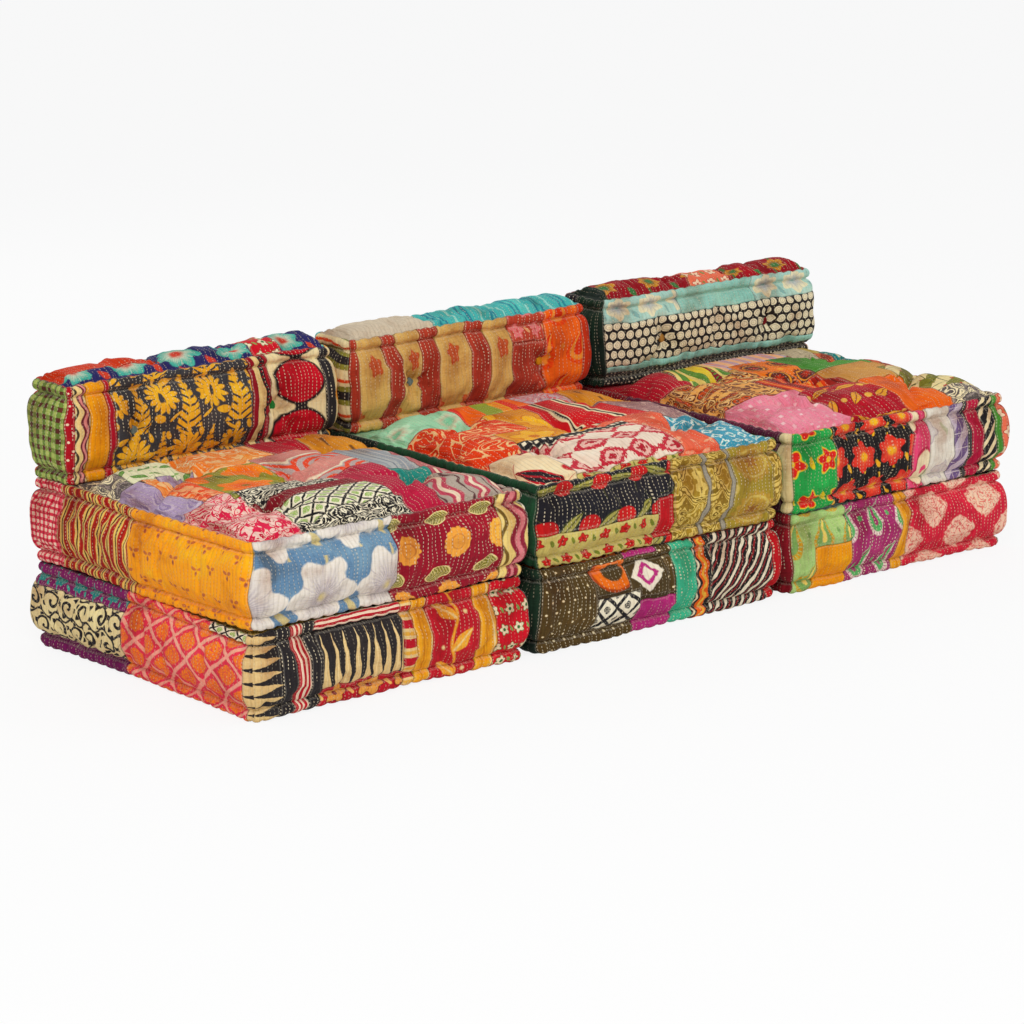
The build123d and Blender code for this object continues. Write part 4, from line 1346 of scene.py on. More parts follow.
@dataclass
class Cushion:
    """One loose cushion: a top panel, a bottom panel and the boxing band round it.

    The net of a panel is laid on a rectangle as large as the cushion. The outline at a level is that
    rectangle, set back as far as the level's profile says, with round corners.
    """

    name: str
    cover: Cover
    seed: int
    crown: float = 0.0
    buttons: tuple[str, ...] = ("button_red",)

    def __post_init__(self) -> None:
        """Takes the cushion's size and place from its cover's node."""
        low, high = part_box(f"{self.name}_cover")
        self.width, self.depth = high[0] - low[0], high[1] - low[1]
        self.height = high[2] - low[2] - self.crown
        self.place = np.array([(low[0] + high[0]) / 2, (low[1] + high[1]) / 2, low[2]])
        self.rng = np.random.default_rng(self.seed)
        low, high = (np.array(end) - self.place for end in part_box(f"{self.name}_tufting_twine"))
        self.twine_top, self.twine_faces = high[2], {-1: -low[1], 1: high[1]}
        self.xs, self.ys = self.lines()

    def tufted(self, shares: Sequence[tuple[float, float]], radius: float, depth: float) -> list[Tuft]:
        """Tufts of one size at shares of the top panel's width and depth."""
        return [Tuft((u - 0.5) * self.width, (v - 0.5) * self.depth, radius, depth) for u, v in shares]

    def top_tufts(self) -> list[Tuft]:
        """The tufts of the top panel."""
        return []

    def face_tufts(self) -> list[Tuft]:
        """The tufts of the front and rear faces, by their place along the width and up."""
        return []

    def crown_height(self, x: Array, y: Array, inset: Array) -> Array:
        """How far the top panel stands above the rolls, before its tufts pull it in."""
        return np.zeros_like(inset)

    def plan(self, x: Array, y: Array, setback: Union[float, Array]) -> tuple[Array, Array]:
        """Bends the net to the cushion's outline at a setback.

        In the square at each corner, a point at shares (u, v) of the corner's radius r goes to
        (r * u * sqrt(1 - v * v / 2), r * v * sqrt(1 - u * u / 2)), which takes the square's outer edges to
        an arc. Then each side is drawn in by a parabola that is nought at the corners.

        Args:
            x: Places along the width.
            y: Places along the depth.
            setback: How far inside the widest level the outline lies.

        Returns:
            The bent places.
        """
        a, b = self.width / 2, self.depth / 2
        radius = CORNER_RADIUS - setback
        u = np.clip((np.abs(x) - a) / CORNER_RADIUS + 1, 0, 1)
        v = np.clip((np.abs(y) - b) / CORNER_RADIUS + 1, 0, 1)
        across = np.minimum(np.abs(x), a - CORNER_RADIUS) + radius * u * np.sqrt(1 - v * v / 2)
        back = np.minimum(np.abs(y), b - CORNER_RADIUS) + radius * v * np.sqrt(1 - u * u / 2)
        across = np.sign(x) * across - DRAW_IN * (x / a) * (1 - (y / b) ** 2)
        back = np.sign(y) * back - DRAW_IN * (y / b) * (1 - (x / a) ** 2)
        return across, back

    def lines(self) -> tuple[Array, Array]:
        """The net's lines along the width and the depth, with one on each seam of every panel."""
        c = self.cover
        x_shares = [s for p in c.top + c.bottom + c.front for s in (p.left, p.right)]
        x_shares += [1 - s for p in c.rear for s in (p.left, p.right)]
        y_shares = [s for p in c.top + c.bottom for s in (p.low, p.high)]
        y_shares += [s for p in c.right for s in (p.left, p.right)]
        y_shares += [1 - s for p in c.left for s in (p.left, p.right)]
        found = []
        for length, shares in ((self.width, x_shares), (self.depth, y_shares)):
            even = np.linspace(-length / 2, length / 2, round(length / NET_SPACING) + 1)
            found.append(snapped(even, [(s - 0.5) * length for s in shares]))
        return found[0], found[1]

    def rows(self) -> tuple[Array, Array]:
        """The band's profile from the crest of its lower roll to the crest of its upper one.

        A roll is an arc about its own middle, and the belly between the two rolls stands out.

        Returns:
            The setback and the height of each row.
        """
        turn = np.radians(np.linspace(-90, ROLL_END, ROLL_ROWS + 1))
        roll_out = CREST_SETBACK - ROLL_RADIUS * np.cos(turn)
        roll_up = ROLL_RADIUS * (1 + np.sin(turn))
        roll_out[-1], roll_up[-1] = GROOVE_SETBACK, ROLL_HEIGHT
        even = np.linspace(0, 1, BELLY_ROWS + 1)
        share = 0.6 * even + 0.2 * (1 - np.cos(np.pi * even))
        rise = self.height - 2 * ROLL_HEIGHT
        seams = [s * self.height for side in self.cover.sides() for p in side for s in (p.low, p.high)]
        level = snapped(ROLL_HEIGHT + rise * share, [s for s in seams if ROLL_HEIGHT < s < ROLL_HEIGHT + rise])
        level = np.sort(level)
        share = (level - ROLL_HEIGHT) / rise
        out = belly_setback(share)
        setback = np.concatenate([roll_out[:-1], out, roll_out[-2::-1]])
        height = np.concatenate([roll_up[:-1], level, self.height - roll_up[-2::-1]])
        return setback, height

    def loop(self) -> tuple[Array, Array]:
        """The net's border, from the front left corner to the right and round."""
        xs, ys = self.xs, self.ys
        x = np.concatenate([xs[:-1], np.full(len(ys) - 1, xs[-1]), xs[:0:-1], np.full(len(ys) - 1, xs[0])])
        y = np.concatenate([np.full(len(xs) - 1, ys[0]), ys[:-1], np.full(len(xs) - 1, ys[-1]), ys[:0:-1]])
        return x, y

    def inset(self, places: Array, half: float) -> Array:
        """How far the net's lines lie inside the rolls' crest, where the corners' squares are squeezed."""
        inner = half - np.abs(places)
        squeeze = (CORNER_RADIUS - CREST_SETBACK) / CORNER_RADIUS
        return np.where(inner < CORNER_RADIUS, inner * squeeze, inner - CREST_SETBACK)

    def net_inset(self, x: Array, y: Array) -> Array:
        """How far the points of a net lie inside the rolls' crest."""
        return np.minimum(self.inset(x, self.width / 2), self.inset(y, self.depth / 2))

    def band_form(self, x: Array, y: Array, setback: Array, height: Array) -> Array:
        """The band before its cloth is simulated, in the cushion's own frame."""
        across, back = self.plan(x[None], y[None], setback[:, None])
        return np.stack([across, back, np.broadcast_to(height[:, None], across.shape)], -1)

    def around(self, x: Array, y: Array) -> Array:
        """How far round the band each point of the loop is, with the whole length as one more value."""
        across, back = self.plan(x, y, GROOVE_SETBACK / 2)
        steps = np.hypot(np.roll(across, -1) - across, np.roll(back, -1) - back)
        return np.concatenate([[0], np.cumsum(steps)])

    def band(self) -> Array:
        """The boxing band: its form, swollen by simulation, with pinched rolls, puckers and tufts.

        The rolls are pinched about every 27 mm by the square of a cosine along the band. A pinch pulls the
        roll in, and runs on over the belly as a pucker that dies out away from the groove.

        Returns:
            The band's points, in rows from its lower edge up and columns round from the front left corner.
        """
        x, y = self.loop()
        setback, height = self.rows()
        along = self.around(x, y)
        total, along = along[-1], along[:-1]
        lump = partial(looped_lumps, self.rng, along, total, height)
        points = self.band_form(x, y, setback, height)
        points += self.band_swell(x, y, along, total, height)
        normal = outward(points, True)
        from_groove = np.minimum(np.abs(height - ROLL_HEIGHT), np.abs(self.height - ROLL_HEIGHT - height))
        on_roll = (height < ROLL_HEIGHT) | (height > self.height - ROLL_HEIGHT)
        inner = np.minimum(height, self.height - height)
        pinches = round(total / PINCH_SPACING)
        shift = 0.12 * lump(0.11, self.height)
        pinch = (0.5 + 0.5 * np.cos(math.tau * (pinches * along / total + shift * 3))) ** 2
        strength = 0.75 + 0.35 * lump(0.04, self.height)
        roll_weight = np.where(on_roll, np.sin(np.clip(inner / ROLL_HEIGHT, 0.15, 0.85) * np.pi), 0)[:, None]
        pucker = np.where(on_roll, 0.3, np.exp(-from_groove / PUCKER_REACH))[:, None]
        belly = np.clip(from_groove / 0.03, 0, 1)[:, None] * ~on_roll[:, None]
        move = -ROLL_PINCH * pinch * strength * roll_weight - PUCKER_DEPTH * pinch * strength * pucker
        reaches = pucker * ~on_roll[:, None], belly, belly, on_roll[:, None]
        for (depth, length, tall), reach in zip(BAND_LUMPS, reaches):
            move += depth * lump(length, tall) * reach
        corner = np.minimum(self.width / 2 - np.abs(x), 9) + np.minimum(self.depth / 2 - np.abs(y), 9)
        crease = np.exp(-(((corner - CORNER_CREASE) / 0.006) ** 2))[None]
        move -= CORNER_CREASE_DEPTH * crease * belly * (0.6 + 0.4 * lumps(self.rng, along, height, 0.05))
        points += normal * move[..., None]
        for tuft in self.face_tufts():
            for sign in (-1, 1):
                face = np.sign(y) * (np.abs(y) == self.depth / 2) == sign
                pull = tuft.hollow(self.rng, points[:, :, 0], points[:, :, 2])
                calm = np.clip(from_groove / 0.012, 0, 1)[:, None] * ~on_roll[:, None]
                points[:, :, 1] -= sign * np.where(face[None], pull * calm, 0)
                r = np.hypot(points[:, :, 0] - tuft.x, points[:, :, 2] - tuft.y) + 9 * ~face
                seat = points[:, :, 1].flat[r.argmin()]
                away = sign * (self.twine_faces[sign] - TWINE_COVER) - seat
                points[:, :, 1] += away * np.exp(-((r / SETTLE_REACH) ** 2))
        points[:, :, 2] += ROLL_WANDER * lump(0.12, 0.5)
        points[:, :, 2] += ROLL_WANDER / 2 * lump(0.04, 0.5)
        points[:, :, 2] = np.clip(points[:, :, 2], 0, self.height + 0.001)
        limit = np.array([self.width, self.depth]) / 2
        points[:, :, :2] = np.clip(points[:, :, :2], -limit, limit)
        aside = 0.6 * DRAWN_FAR * lump(0.11, 0.10)
        aside += DRAWN_NEAR * lump(0.045, 0.03)
        aside *= np.clip(inner / 0.012, 0, 1)[:, None] / NET_SPACING
        return drawn_off(points, aside, np.zeros_like(aside), True)

    def band_swell(
        self, x: Array, y: Array, along: Array, total: float, height: Array
    ) -> Array:
        """How far the simulated cloth of the bellies moves each point of the band."""
        count = round(total / PUFF_SPACING)
        even = np.arange(count) * total / count
        closed = np.append(along, total)
        coarse_x, coarse_y = (np.interp(even, closed, np.append(v, v[0])) for v in (x, y))
        levels = np.linspace(ROLL_HEIGHT, self.height - ROLL_HEIGHT, PUFF_BELLY_ROWS)
        share = (levels - ROLL_HEIGHT) / (self.height - 2 * ROLL_HEIGHT)
        out = belly_setback(share)
        form = self.band_form(coarse_x, coarse_y, out, levels)
        pinned = np.zeros(form.shape[:2], bool)
        pinned[0], pinned[-1] = True, True
        for tuft in self.face_tufts():
            near = np.hypot(form[:, :, 0] - tuft.x, form[:, :, 2] - tuft.y) < PUFF_SPACING
            pinned |= near & (np.abs(form[:, :, 1]) > self.depth / 2 - GROOVE_SETBACK)
        form[:, :, 2] -= self.height / 2
        moved = np.clip(blown_up(form, pinned, True, BAND_GROWTH), -BAND_CAP, BAND_CAP)
        up = cubic_weights(levels, np.clip(height, levels[0], levels[-1]))
        round_weights = looped_weights(count, total, along)
        return np.stack([up @ moved[:, :, k] @ round_weights.T for k in range(3)], -1)

    def top_form(self, xs: Array, ys: Array, rng: Draws) -> Array:
        """The top panel before its cloth is simulated: crown, stitched line beside the roll, and tufts."""
        x, y = np.meshgrid(xs, ys)
        across, back = self.plan(x, y, CREST_SETBACK)
        inset = self.net_inset(x, y)
        up = self.crown_height(across, back, inset)
        for tuft in self.top_tufts():
            up -= tuft.hollow(rng, across, back) * np.clip(inset / 0.03, 0, 1)
        up = np.maximum(up, -0.012)
        up -= GROOVE_DEPTH * np.exp(-(((inset - GROOVE_INSET) / 0.0035) ** 2))
        return np.stack([across, back, self.height + up], -1)

    def top(self, ring: Array) -> Array:
        """The top panel: its form, swollen by simulation, with puckers beside the rolls.

        Args:
            ring: The band's upper edge, which the panel is sewn to.

        Returns:
            The panel's points, in rows from front to rear and columns from left to right.
        """
        form_seed = int(self.rng.integers(1 << 30))
        xs, ys = self.xs, self.ys
        points = self.top_form(xs, ys, np.random.default_rng(form_seed))
        points += self.top_swell(form_seed)
        x, y = np.meshgrid(xs, ys)
        inset = self.net_inset(x, y)
        free = np.clip((inset - GROOVE_INSET) / 0.02, 0, 1) * self.looseness(points[:, :, 1])
        beside = np.exp(-np.maximum(inset - GROOVE_INSET, 0) / 0.022) * np.clip(inset / GROOVE_INSET, 0, 1)
        points[:, :, 2] += 0.0030 * lumps(self.rng, xs, ys, 0.075) * free
        points[:, :, 2] += 0.0013 * lumps(self.rng, xs, ys, 0.024) * free
        points[:, :, 2] += 0.0022 * lumps(self.rng, xs, ys, 0.013) * beside * self.looseness(points[:, :, 1])
        points[:, :, 2] = np.minimum(points[:, :, 2], self.ceiling(points[:, :, 1]))
        for tuft in self.top_tufts():
            r = np.hypot(points[:, :, 0] - tuft.x, points[:, :, 1] - tuft.y)
            away = self.twine_top - TWINE_COVER - points[:, :, 2].flat[r.argmin()]
            points[:, :, 2] += away * np.exp(-((r / SETTLE_REACH) ** 2))
        points = self.sewn(points, ring)
        held = np.clip(inset / 0.03, 0, 1) / NET_SPACING
        aside, ahead = (
            (DRAWN_FAR * lumps(self.rng, xs, ys, 0.15) + DRAWN_NEAR * lumps(self.rng, xs, ys, 0.05)) * held
            for _ in range(2)
        )
        return drawn_off(points, aside, ahead, False)

    def top_swell(self, form_seed: int) -> Array:
        """How far the simulated cloth of the top panel moves each of its points."""
        nets = self.xs, self.ys
        coarse = [np.linspace(v[0], v[-1], round((v[-1] - v[0]) / PUFF_SPACING) + 1) for v in nets]
        form = self.top_form(*coarse, np.random.default_rng(form_seed))
        x, y = np.meshgrid(*coarse)
        inset = self.net_inset(x, y)
        pinned = (inset <= GROOVE_INSET) | (self.looseness(form[:, :, 1]) <= 0)
        for tuft in self.top_tufts():
            pinned |= np.hypot(form[:, :, 0] - tuft.x, form[:, :, 1] - tuft.y) < PUFF_SPACING * 0.8
        form[:, :, 2] -= self.height / 2
        moved = np.clip(blown_up(form, pinned, False, TOP_GROWTH), -TOP_CAP, TOP_CAP)
        over, up = (cubic_weights(*lines) for lines in zip(coarse, nets))
        return np.stack([up @ moved[:, :, k] @ over.T for k in range(3)], -1)

    def looseness(self, y: Array) -> Array:
        """1 where the top panel is free to swell, and 0 where something stands on it."""
        return np.ones_like(y)

    def ceiling(self, y: Array) -> Array:
        """How high the top panel may reach."""
        return np.full_like(y, self.height + self.crown + 0.012)

    def bottom(self, ring: Array) -> Array:
        """The bottom panel, which lies flat, with the stitched line beside the roll."""
        x, y = np.meshgrid(self.xs, self.ys)
        across, back = self.plan(x, y, CREST_SETBACK)
        inset = self.net_inset(x, y)
        up = GROOVE_DEPTH * np.exp(-(((inset - GROOVE_INSET) / 0.0035) ** 2))
        up += 0.0006 * (1 + lumps(self.rng, self.xs, self.ys, 0.06))
        points = self.sewn(np.stack([across, back, np.maximum(up, 0)], -1), ring)
        points[:, :, 2] = np.maximum(points[:, :, 2], 0)
        return points

    def sewn(self, points: Array, ring: Array) -> Array:
        """Moves a panel's border onto the band's edge, and lets that move die out inwards.

        Each side's move is carried inwards with the weight exp(-(inset / reach) ** 2), and what two sides
        share at a corner is taken off once.

        Args:
            points: The panel's points.
            ring: The band's edge.

        Returns:
            The moved points.
        """
        nx, ny = len(self.xs) - 1, len(self.ys) - 1
        closed = np.vstack([ring, ring[:1]])
        front, right = closed[: nx + 1], closed[nx : nx + ny + 1]
        rear, left = closed[nx + ny : 2 * nx + ny + 1][::-1], closed[2 * nx + ny :][::-1]
        moves = front - points[0], rear - points[-1], left - points[:, 0], right - points[:, -1]
        low_x, high_x, low_y, high_y = (
            np.exp(-((np.abs(v - edge) / SEWN_REACH) ** 2)) for v in (self.xs, self.ys) for edge in (v[0], v[-1])
        )
        moved = low_y[:, None, None] * moves[0][None] + high_y[:, None, None] * moves[1][None]
        moved += low_x[None, :, None] * moves[2][:, None] + high_x[None, :, None] * moves[3][:, None]
        for wy, move in ((low_y, moves[0]), (high_y, moves[1])):
            for wx, corner in ((low_x, move[0]), (high_x, move[-1])):
                moved -= wy[:, None, None] * wx[None, :, None] * corner
        points = points + moved
        points[0], points[-1], points[:, 0], points[:, -1] = front, rear, left, right
        return points

    def build(self) -> list[Piece]:
        """Builds and dresses the three panels and the buttons.

        Returns:
            The pieces, each riding on the cushion's body.
        """
        band = self.band()
        top = self.top(band[-1])
        bottom = self.bottom(band[0])
        pieces = [
            self.panel("top", top, self.cover.top, False),
            self.boxing_band(band),
            self.panel("bottom", bottom, self.cover.bottom, True),
        ]
        for piece in pieces:
            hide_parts(f"{self.name}_cover", f"{self.name}_filling")
        pieces.append(self.tuft_buttons(top, band))
        for piece in pieces:
            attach(piece, self.name)
            log.info("%s: %d faces", piece.name, len(piece.data.polygons))
        return pieces

    def panel(self, label: str, points: Array, patches: Sequence[Patch], below: bool) -> Piece:
        """Makes the mesh of the top or the bottom panel, with its patches.

        Args:
            label: What the panel is called.
            points: Its points, in the cushion's own frame.
            patches: Its patches.
            below: Whether it faces down.

        Returns:
            The piece.
        """
        across, up = self.xs / self.width + 0.5, self.ys / self.depth + 0.5
        cells = cut_from(patches, middles(across), middles(up))
        cloth = spread(self.xs, self.ys)
        starts = [((p.left - 0.5) * self.width, (p.low - 0.5) * self.depth) for p in patches]
        distance = seam_distance(of_cloth(patches)[cells], False)
        points = grooved(points, distance, False, below)
        piece = grid_object(f"{self.name}_{label}", points + self.place, False, below)
        dress(piece, cells, patches, starts, cloth, spread(across, up), distance, below)
        return piece

    def boxing_band(self, points: Array) -> Piece:
        """Makes the mesh of the boxing band, with the patches of its four sides.

        Args:
            points: The band's points, in the cushion's own frame.

        Returns:
            The piece.
        """
        across, back = self.xs / self.width + 0.5, self.ys / self.depth + 0.5
        shares = (across, back, 1 - across[::-1], 1 - back[::-1])
        setback, height = self.rows()
        up = height / self.height
        profile = np.concatenate([[0], np.cumsum(np.hypot(np.diff(setback), np.diff(height)))])
        along = self.around(*self.loop())
        patches: list[Patch] = []
        starts: list[tuple[float, float]] = []
        cells, bakes, first = [], [], 0
        for number, (side, share) in enumerate(zip(self.cover.sides(), shares)):
            cells.append(cut_from(side, middles(share), middles(up)) + len(patches))
            last = first + len(share) - 1
            starts += [
                (np.interp(p.left, share, along[first : last + 1]), np.interp(p.low, up, profile)) for p in side
            ]
            patches += side
            strip = (number + 0.02 + 0.96 * up) / 4
            bakes.append([cell_corners(v, False) for v in spread(share, strip)])
            first = last
        cell_patch = np.hstack(cells)
        cloth = spread(along, profile)
        distance = seam_distance(of_cloth(patches)[cell_patch], True)
        on_groove = np.minimum(np.abs(height - ROLL_HEIGHT), np.abs(self.height - ROLL_HEIGHT - height))
        grooves = np.minimum(distance, on_groove[:, None])
        piece = grid_object(f"{self.name}_band", grooved(points, grooves, True, False) + self.place, True)
        # the seam distance also reaches the rolls' grooves, so a faint line of painted shade is laid along them
        distance = np.minimum(distance, on_groove[:, None] + 0.7 * SEAM_LINE)
        bake = tuple(np.concatenate(v, 1) for v in zip(*bakes))
        dress(piece, cell_patch, patches, starts, cloth, bake, distance, False)
        return piece

    def tuft_buttons(self, top: Array, band: Array) -> Piece:
        """Makes the cushion's cloth-covered buttons, each seated on the cloth where a tuft pulls it in.

        Args:
            top: The top panel's points.
            band: The band's points.

        Returns:
            The buttons as one piece.
        """
        seats = []
        for tuft in self.top_tufts():
            near = np.hypot(top[:, :, 0] - tuft.x, top[:, :, 1] - tuft.y)
            seats.append((top.reshape(-1, 3)[near.argmin()], np.array([0.0, 0.0, 1.0])))
        for tuft in self.face_tufts():
            for sign in (-1.0, 1.0):
                near = np.hypot(band[:, :, 0] - tuft.x, band[:, :, 2] - tuft.y) + (band[:, :, 1] * sign < 0)
                seats.append((band.reshape(-1, 3)[near.argmin()], np.array([0.0, sign, 0.0])))
        cloths = [self.buttons[min(number, len(self.buttons) - 1)] for number in range(len(seats))]
        names = sorted(set(cloths))
        pieces = [button(seat + self.place, out, names.index(c)) for (seat, out), c in zip(seats, cloths)]
        piece = pieces[0]
        piece.name = piece.data.name = f"{self.name}_buttons"
        for other in pieces[1:]:
            join(piece, other)
        close_poles(piece)
        for name in names:
            piece.data.materials.append(FABRICS[name].material(name))
        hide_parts(f"{self.name}_tuft_buttons")
        return piece


def middles(lines: Array) -> Array:
    """The middle of each cell between two lines."""
    return (lines[:-1] + lines[1:]) / 2


def spread(across: Array, up: Array) -> tuple[Array, Array]:
    """The two places of every point of a net, from those of its columns and rows."""
    shape = len(up), len(across)
    return np.broadcast_to(across, shape), np.broadcast_to(up[:, None], shape)


def cut_from(patches: Sequence[Patch], across: Array, up: Array) -> Array:
    """Which patch each cell is cut from, where a later patch lies over an earlier one.

    Args:
        patches: The panel's patches.
        across: Share of the panel at the middle of each column of cells.
        up: Share of the panel at the middle of each row of cells.

    Returns:
        The patch's number for each row and column of cells.
    """
    found = np.zeros((len(up), len(across)), int)
    for number, p in enumerate(patches):
        found[np.ix_((up > p.low) & (up < p.high), (across > p.left) & (across < p.right))] = number
    return found


def of_cloth(patches: Sequence[Patch]) -> Array:
    """The first patch that is of the same cloth as each patch."""
    names = [p.fabric for p in patches]
    return np.array([names.index(name) for name in names])


def seam_distance(cells: Array, around: bool) -> Array:
    """Distance of each point of a net from the nearest seam, up to a few cells.

    A point is on a seam where the cells round it are of different cloths, and on a panel's border.
    The distance grows by one spacing at each step away from there.

    Args:
        cells: The cloth of each cell.
        around: Whether the last column of cells is next to the first.

    Returns:
        The distance at each point. A net that goes round has as many columns of points as of cells.
    """
    wide = np.pad(cells, 1, mode="edge")
    if around:
        wide[:, 0], wide[:, -1] = wide[:, -2], wide[:, 1]
    here = wide[:-1, :-1]
    seam = (here != wide[1:, :-1]) | (here != wide[:-1, 1:]) | (here != wide[1:, 1:])
    if around:
        seam = seam[:, :-1]
    else:
        seam[:, 0] = seam[:, -1] = True
    seam[0] = seam[-1] = True
    distance = np.where(seam, 0.0, SEAM_CELLS)
    for _ in range(SEAM_CELLS - 1):
        padded = np.pad(distance, 1, mode="edge")
        if around:
            padded[1:-1, 0], padded[1:-1, -1] = distance[:, -1], distance[:, 0]
        nearest = np.minimum(np.minimum(padded[:-2, 1:-1], padded[2:, 1:-1]), padded[1:-1, :-2])
        distance = np.minimum(distance, np.minimum(nearest, padded[1:-1, 2:]) + 1)
    return distance * NET_SPACING


def dress(
    piece: Piece,
    cells: Array,
    patches: Sequence[Patch],
    starts: Sequence[tuple[float, float]],
    cloth: tuple[Array, Array],
    bake: tuple[Array, Array],
    distance: Array,
    flip: bool,
) -> None:
    """Gives a panel its patches' cloths, the place on the cloth of every corner and the seams' distance.

    Args:
        piece: The panel.
        cells: The patch of each cell.
        patches: The panel's patches.
        starts: Where each patch's own cloth starts on the panel.
        cloth: Place of each point on the panel's flat cloth, in metres.
        bake: Place of each point, or of each cell's corners, in an unfolded square.
        distance: From each point to the nearest seam.
        flip: Whether the faces are turned over.
    """
    x, y = (cell_corners(v, flip) for v in cloth)
    start_x, start_y = (np.array(v)[cells][..., None] for v in zip(*starts))
    x, y = x - start_x, y - start_y
    turned = np.array([p.turned for p in patches])[cells][..., None]
    x, y = np.where(turned, y, x), np.where(turned, -x, y)
    if flip:
        x = -x
    add_map(piece, CLOTH_MAP, x, y)
    if bake[0].ndim == 2:
        bake = cell_corners(bake[0], flip), cell_corners(bake[1], flip)
    add_map(piece, BAKE_MAP, bake[0], bake[1])
    seam = piece.data.attributes.new(SEAM, "FLOAT", "POINT")
    seam.data.foreach_set("value", distance.astype(np.float32).ravel())
    names = sorted({p.fabric for p in patches})
    for name in names:
        piece.data.materials.append(FABRICS[name].material(name))
    slots = np.array([names.index(p.fabric) for p in patches], np.int32)
    piece.data.polygons.foreach_set("material_index", slots[cells].ravel())


def add_map(piece: Piece, name: str, x: Array, y: Array) -> None:
    """Adds a UV map from a value for each corner of each cell."""
    layer = piece.data.uv_layers.new(name=name)
    layer.uv.foreach_set("vector", np.stack([x, y], -1).astype(np.float32).ravel())


def button(seat: Array, out: Array, cloth: int) -> Piece:
    """A cloth-covered button: a flat base, a bulging rim and a crown, turned about its middle.

    The profile goes along the radius as cos(t) and up as sin(t) from the base's edge to the pole.

    Args:
        seat: Where it sits on the cushion.
        out: Which way it faces.
        cloth: The number of its material.

    Returns:
        The button.
    """
    turn = np.radians(np.linspace(-90, 90, BUTTON_RINGS))
    spin = np.linspace(0, math.tau, BUTTON_SIDES, endpoint=False)
    radius = BUTTON_RADIUS * np.cos(turn)[:, None] ** 0.8
    up = BUTTON_HEIGHT / 2 * (1 + np.sin(turn))[:, None] - BUTTON_SINK
    side = np.array([1.0, 0.0, 0.0])
    flat = radius * (1 + 0.04 * np.cos(8 * spin) * np.cos(turn)[:, None])
    across, back = flat * np.cos(spin), flat * np.sin(spin)
    points = seat + across[..., None] * side + back[..., None] * np.cross(out, side) + up[..., None] * out
    piece = grid_object("button", points, True)
    add_map(piece, CLOTH_MAP, *(cell_corners(np.hstack([v, v[:, :1]]), False) for v in (across, back)))
    piece.data.attributes.new(SEAM, "FLOAT", "POINT").data.foreach_set("value", np.ones(radius.size * BUTTON_SIDES))
    piece.data.polygons.foreach_set("material_index", np.full(len(piece.data.polygons), cloth, np.int32))
    return piece


def join(piece: Piece, other: Piece) -> None:
    """Adds another mesh to a piece and removes what held it."""
    build = bmesh.new()
    build.from_mesh(piece.data)
    build.from_mesh(other.data)
    build.to_mesh(piece.data)
    build.free()
    mesh = other.data
    bpy.data.objects.remove(other)
    bpy.data.meshes.remove(mesh)


def close_poles(piece: Piece) -> None:
    """Merges the points that lie on one another at a turned form's poles, and points its faces out."""
    build = bmesh.new()
    build.from_mesh(piece.data)
    bmesh.ops.remove_doubles(build, verts=build.verts, dist=1e-5)
    bmesh.ops.recalc_face_normals(build, faces=build.faces)
    build.to_mesh(piece.data)
    build.free()


class BaseCushion(Cushion):
    """A cushion that lies on the floor with a seat cushion on it, pressed flat."""

    def looseness(self, y: Array) -> Array:
        """Nowhere: the seat lies on all of it."""
        return np.zeros_like(y)

    def ceiling(self, y: Array) -> Array:
        """The rolls' crest."""
        return np.full_like(y, self.height)

    def top_tufts(self) -> list[Tuft]:
        """Five shallow tufts."""
        return self.tufted(SEAT_TUFT_SHARES, BASE_HOLLOW_RADIUS, BASE_HOLLOW_DEPTH)


class SeatCushion(Cushion):
    """A cushion with a crown in front of the strip that the back cushion stands on."""

    def strip(self) -> float:
        """Where the strip under the back cushion starts."""
        return self.depth / 2 - BACK_DEPTH

    def top_tufts(self) -> list[Tuft]:
        """Five deep tufts."""
        return self.tufted(SEAT_TUFT_SHARES, SEAT_HOLLOW_RADIUS, SEAT_HOLLOW_DEPTH)

    def crown_height(self, x: Array, y: Array, inset: Array) -> Array:
        """Rises as a quarter of a sine over a slope from the rolls and from the strip behind."""
        inner = np.clip((inset - GROOVE_INSET / 2) / SEAT_CROWN_SLOPE, 0, 1)
        behind = np.clip((self.strip() - STRIP_FIT - y) / STRIP_SLOPE, 0, 1)
        return self.crown * np.sin(np.pi / 2 * inner) * np.sin(np.pi / 2 * behind)

    def looseness(self, y: Array) -> Array:
        """Free in front of the strip."""
        return np.clip((self.strip() - STRIP_FIT - y) / STRIP_SLOPE, 0, 1)

    def ceiling(self, y: Array) -> Array:
        """The rolls' crest on the strip, and a little over the crown in front of it."""
        return self.height + (self.crown + CROWN_PROUD) * self.looseness(y) ** 0.5


class BackCushion(Cushion):
    """A bolster that stands on the rear of a seat, with two buttons on each face and two tufts on top."""

    def top_tufts(self) -> list[Tuft]:
        """Two small tufts along the top."""
        return self.tufted(BACK_TOP_TUFT_SHARES, TOP_HOLLOW_RADIUS, TOP_HOLLOW_DEPTH)

    def face_tufts(self) -> list[Tuft]:
        """Two tufts that go through from the front to the rear."""
        return [
            Tuft((u - 0.5) * self.width, v * self.height, FACE_HOLLOW_RADIUS, FACE_HOLLOW_DEPTH)
            for u, v in BACK_FACE_TUFT_SHARES[self.name.split("_")[1]]
        ]

    def crown_height(self, x: Array, y: Array, inset: Array) -> Array:
        """Rises as a quarter of a sine over a short slope from the rolls."""
        inner = np.clip((inset - GROOVE_INSET / 2) / BACK_CROWN_SLOPE, 0, 1)
        return self.crown * np.sin(np.pi / 2 * inner)


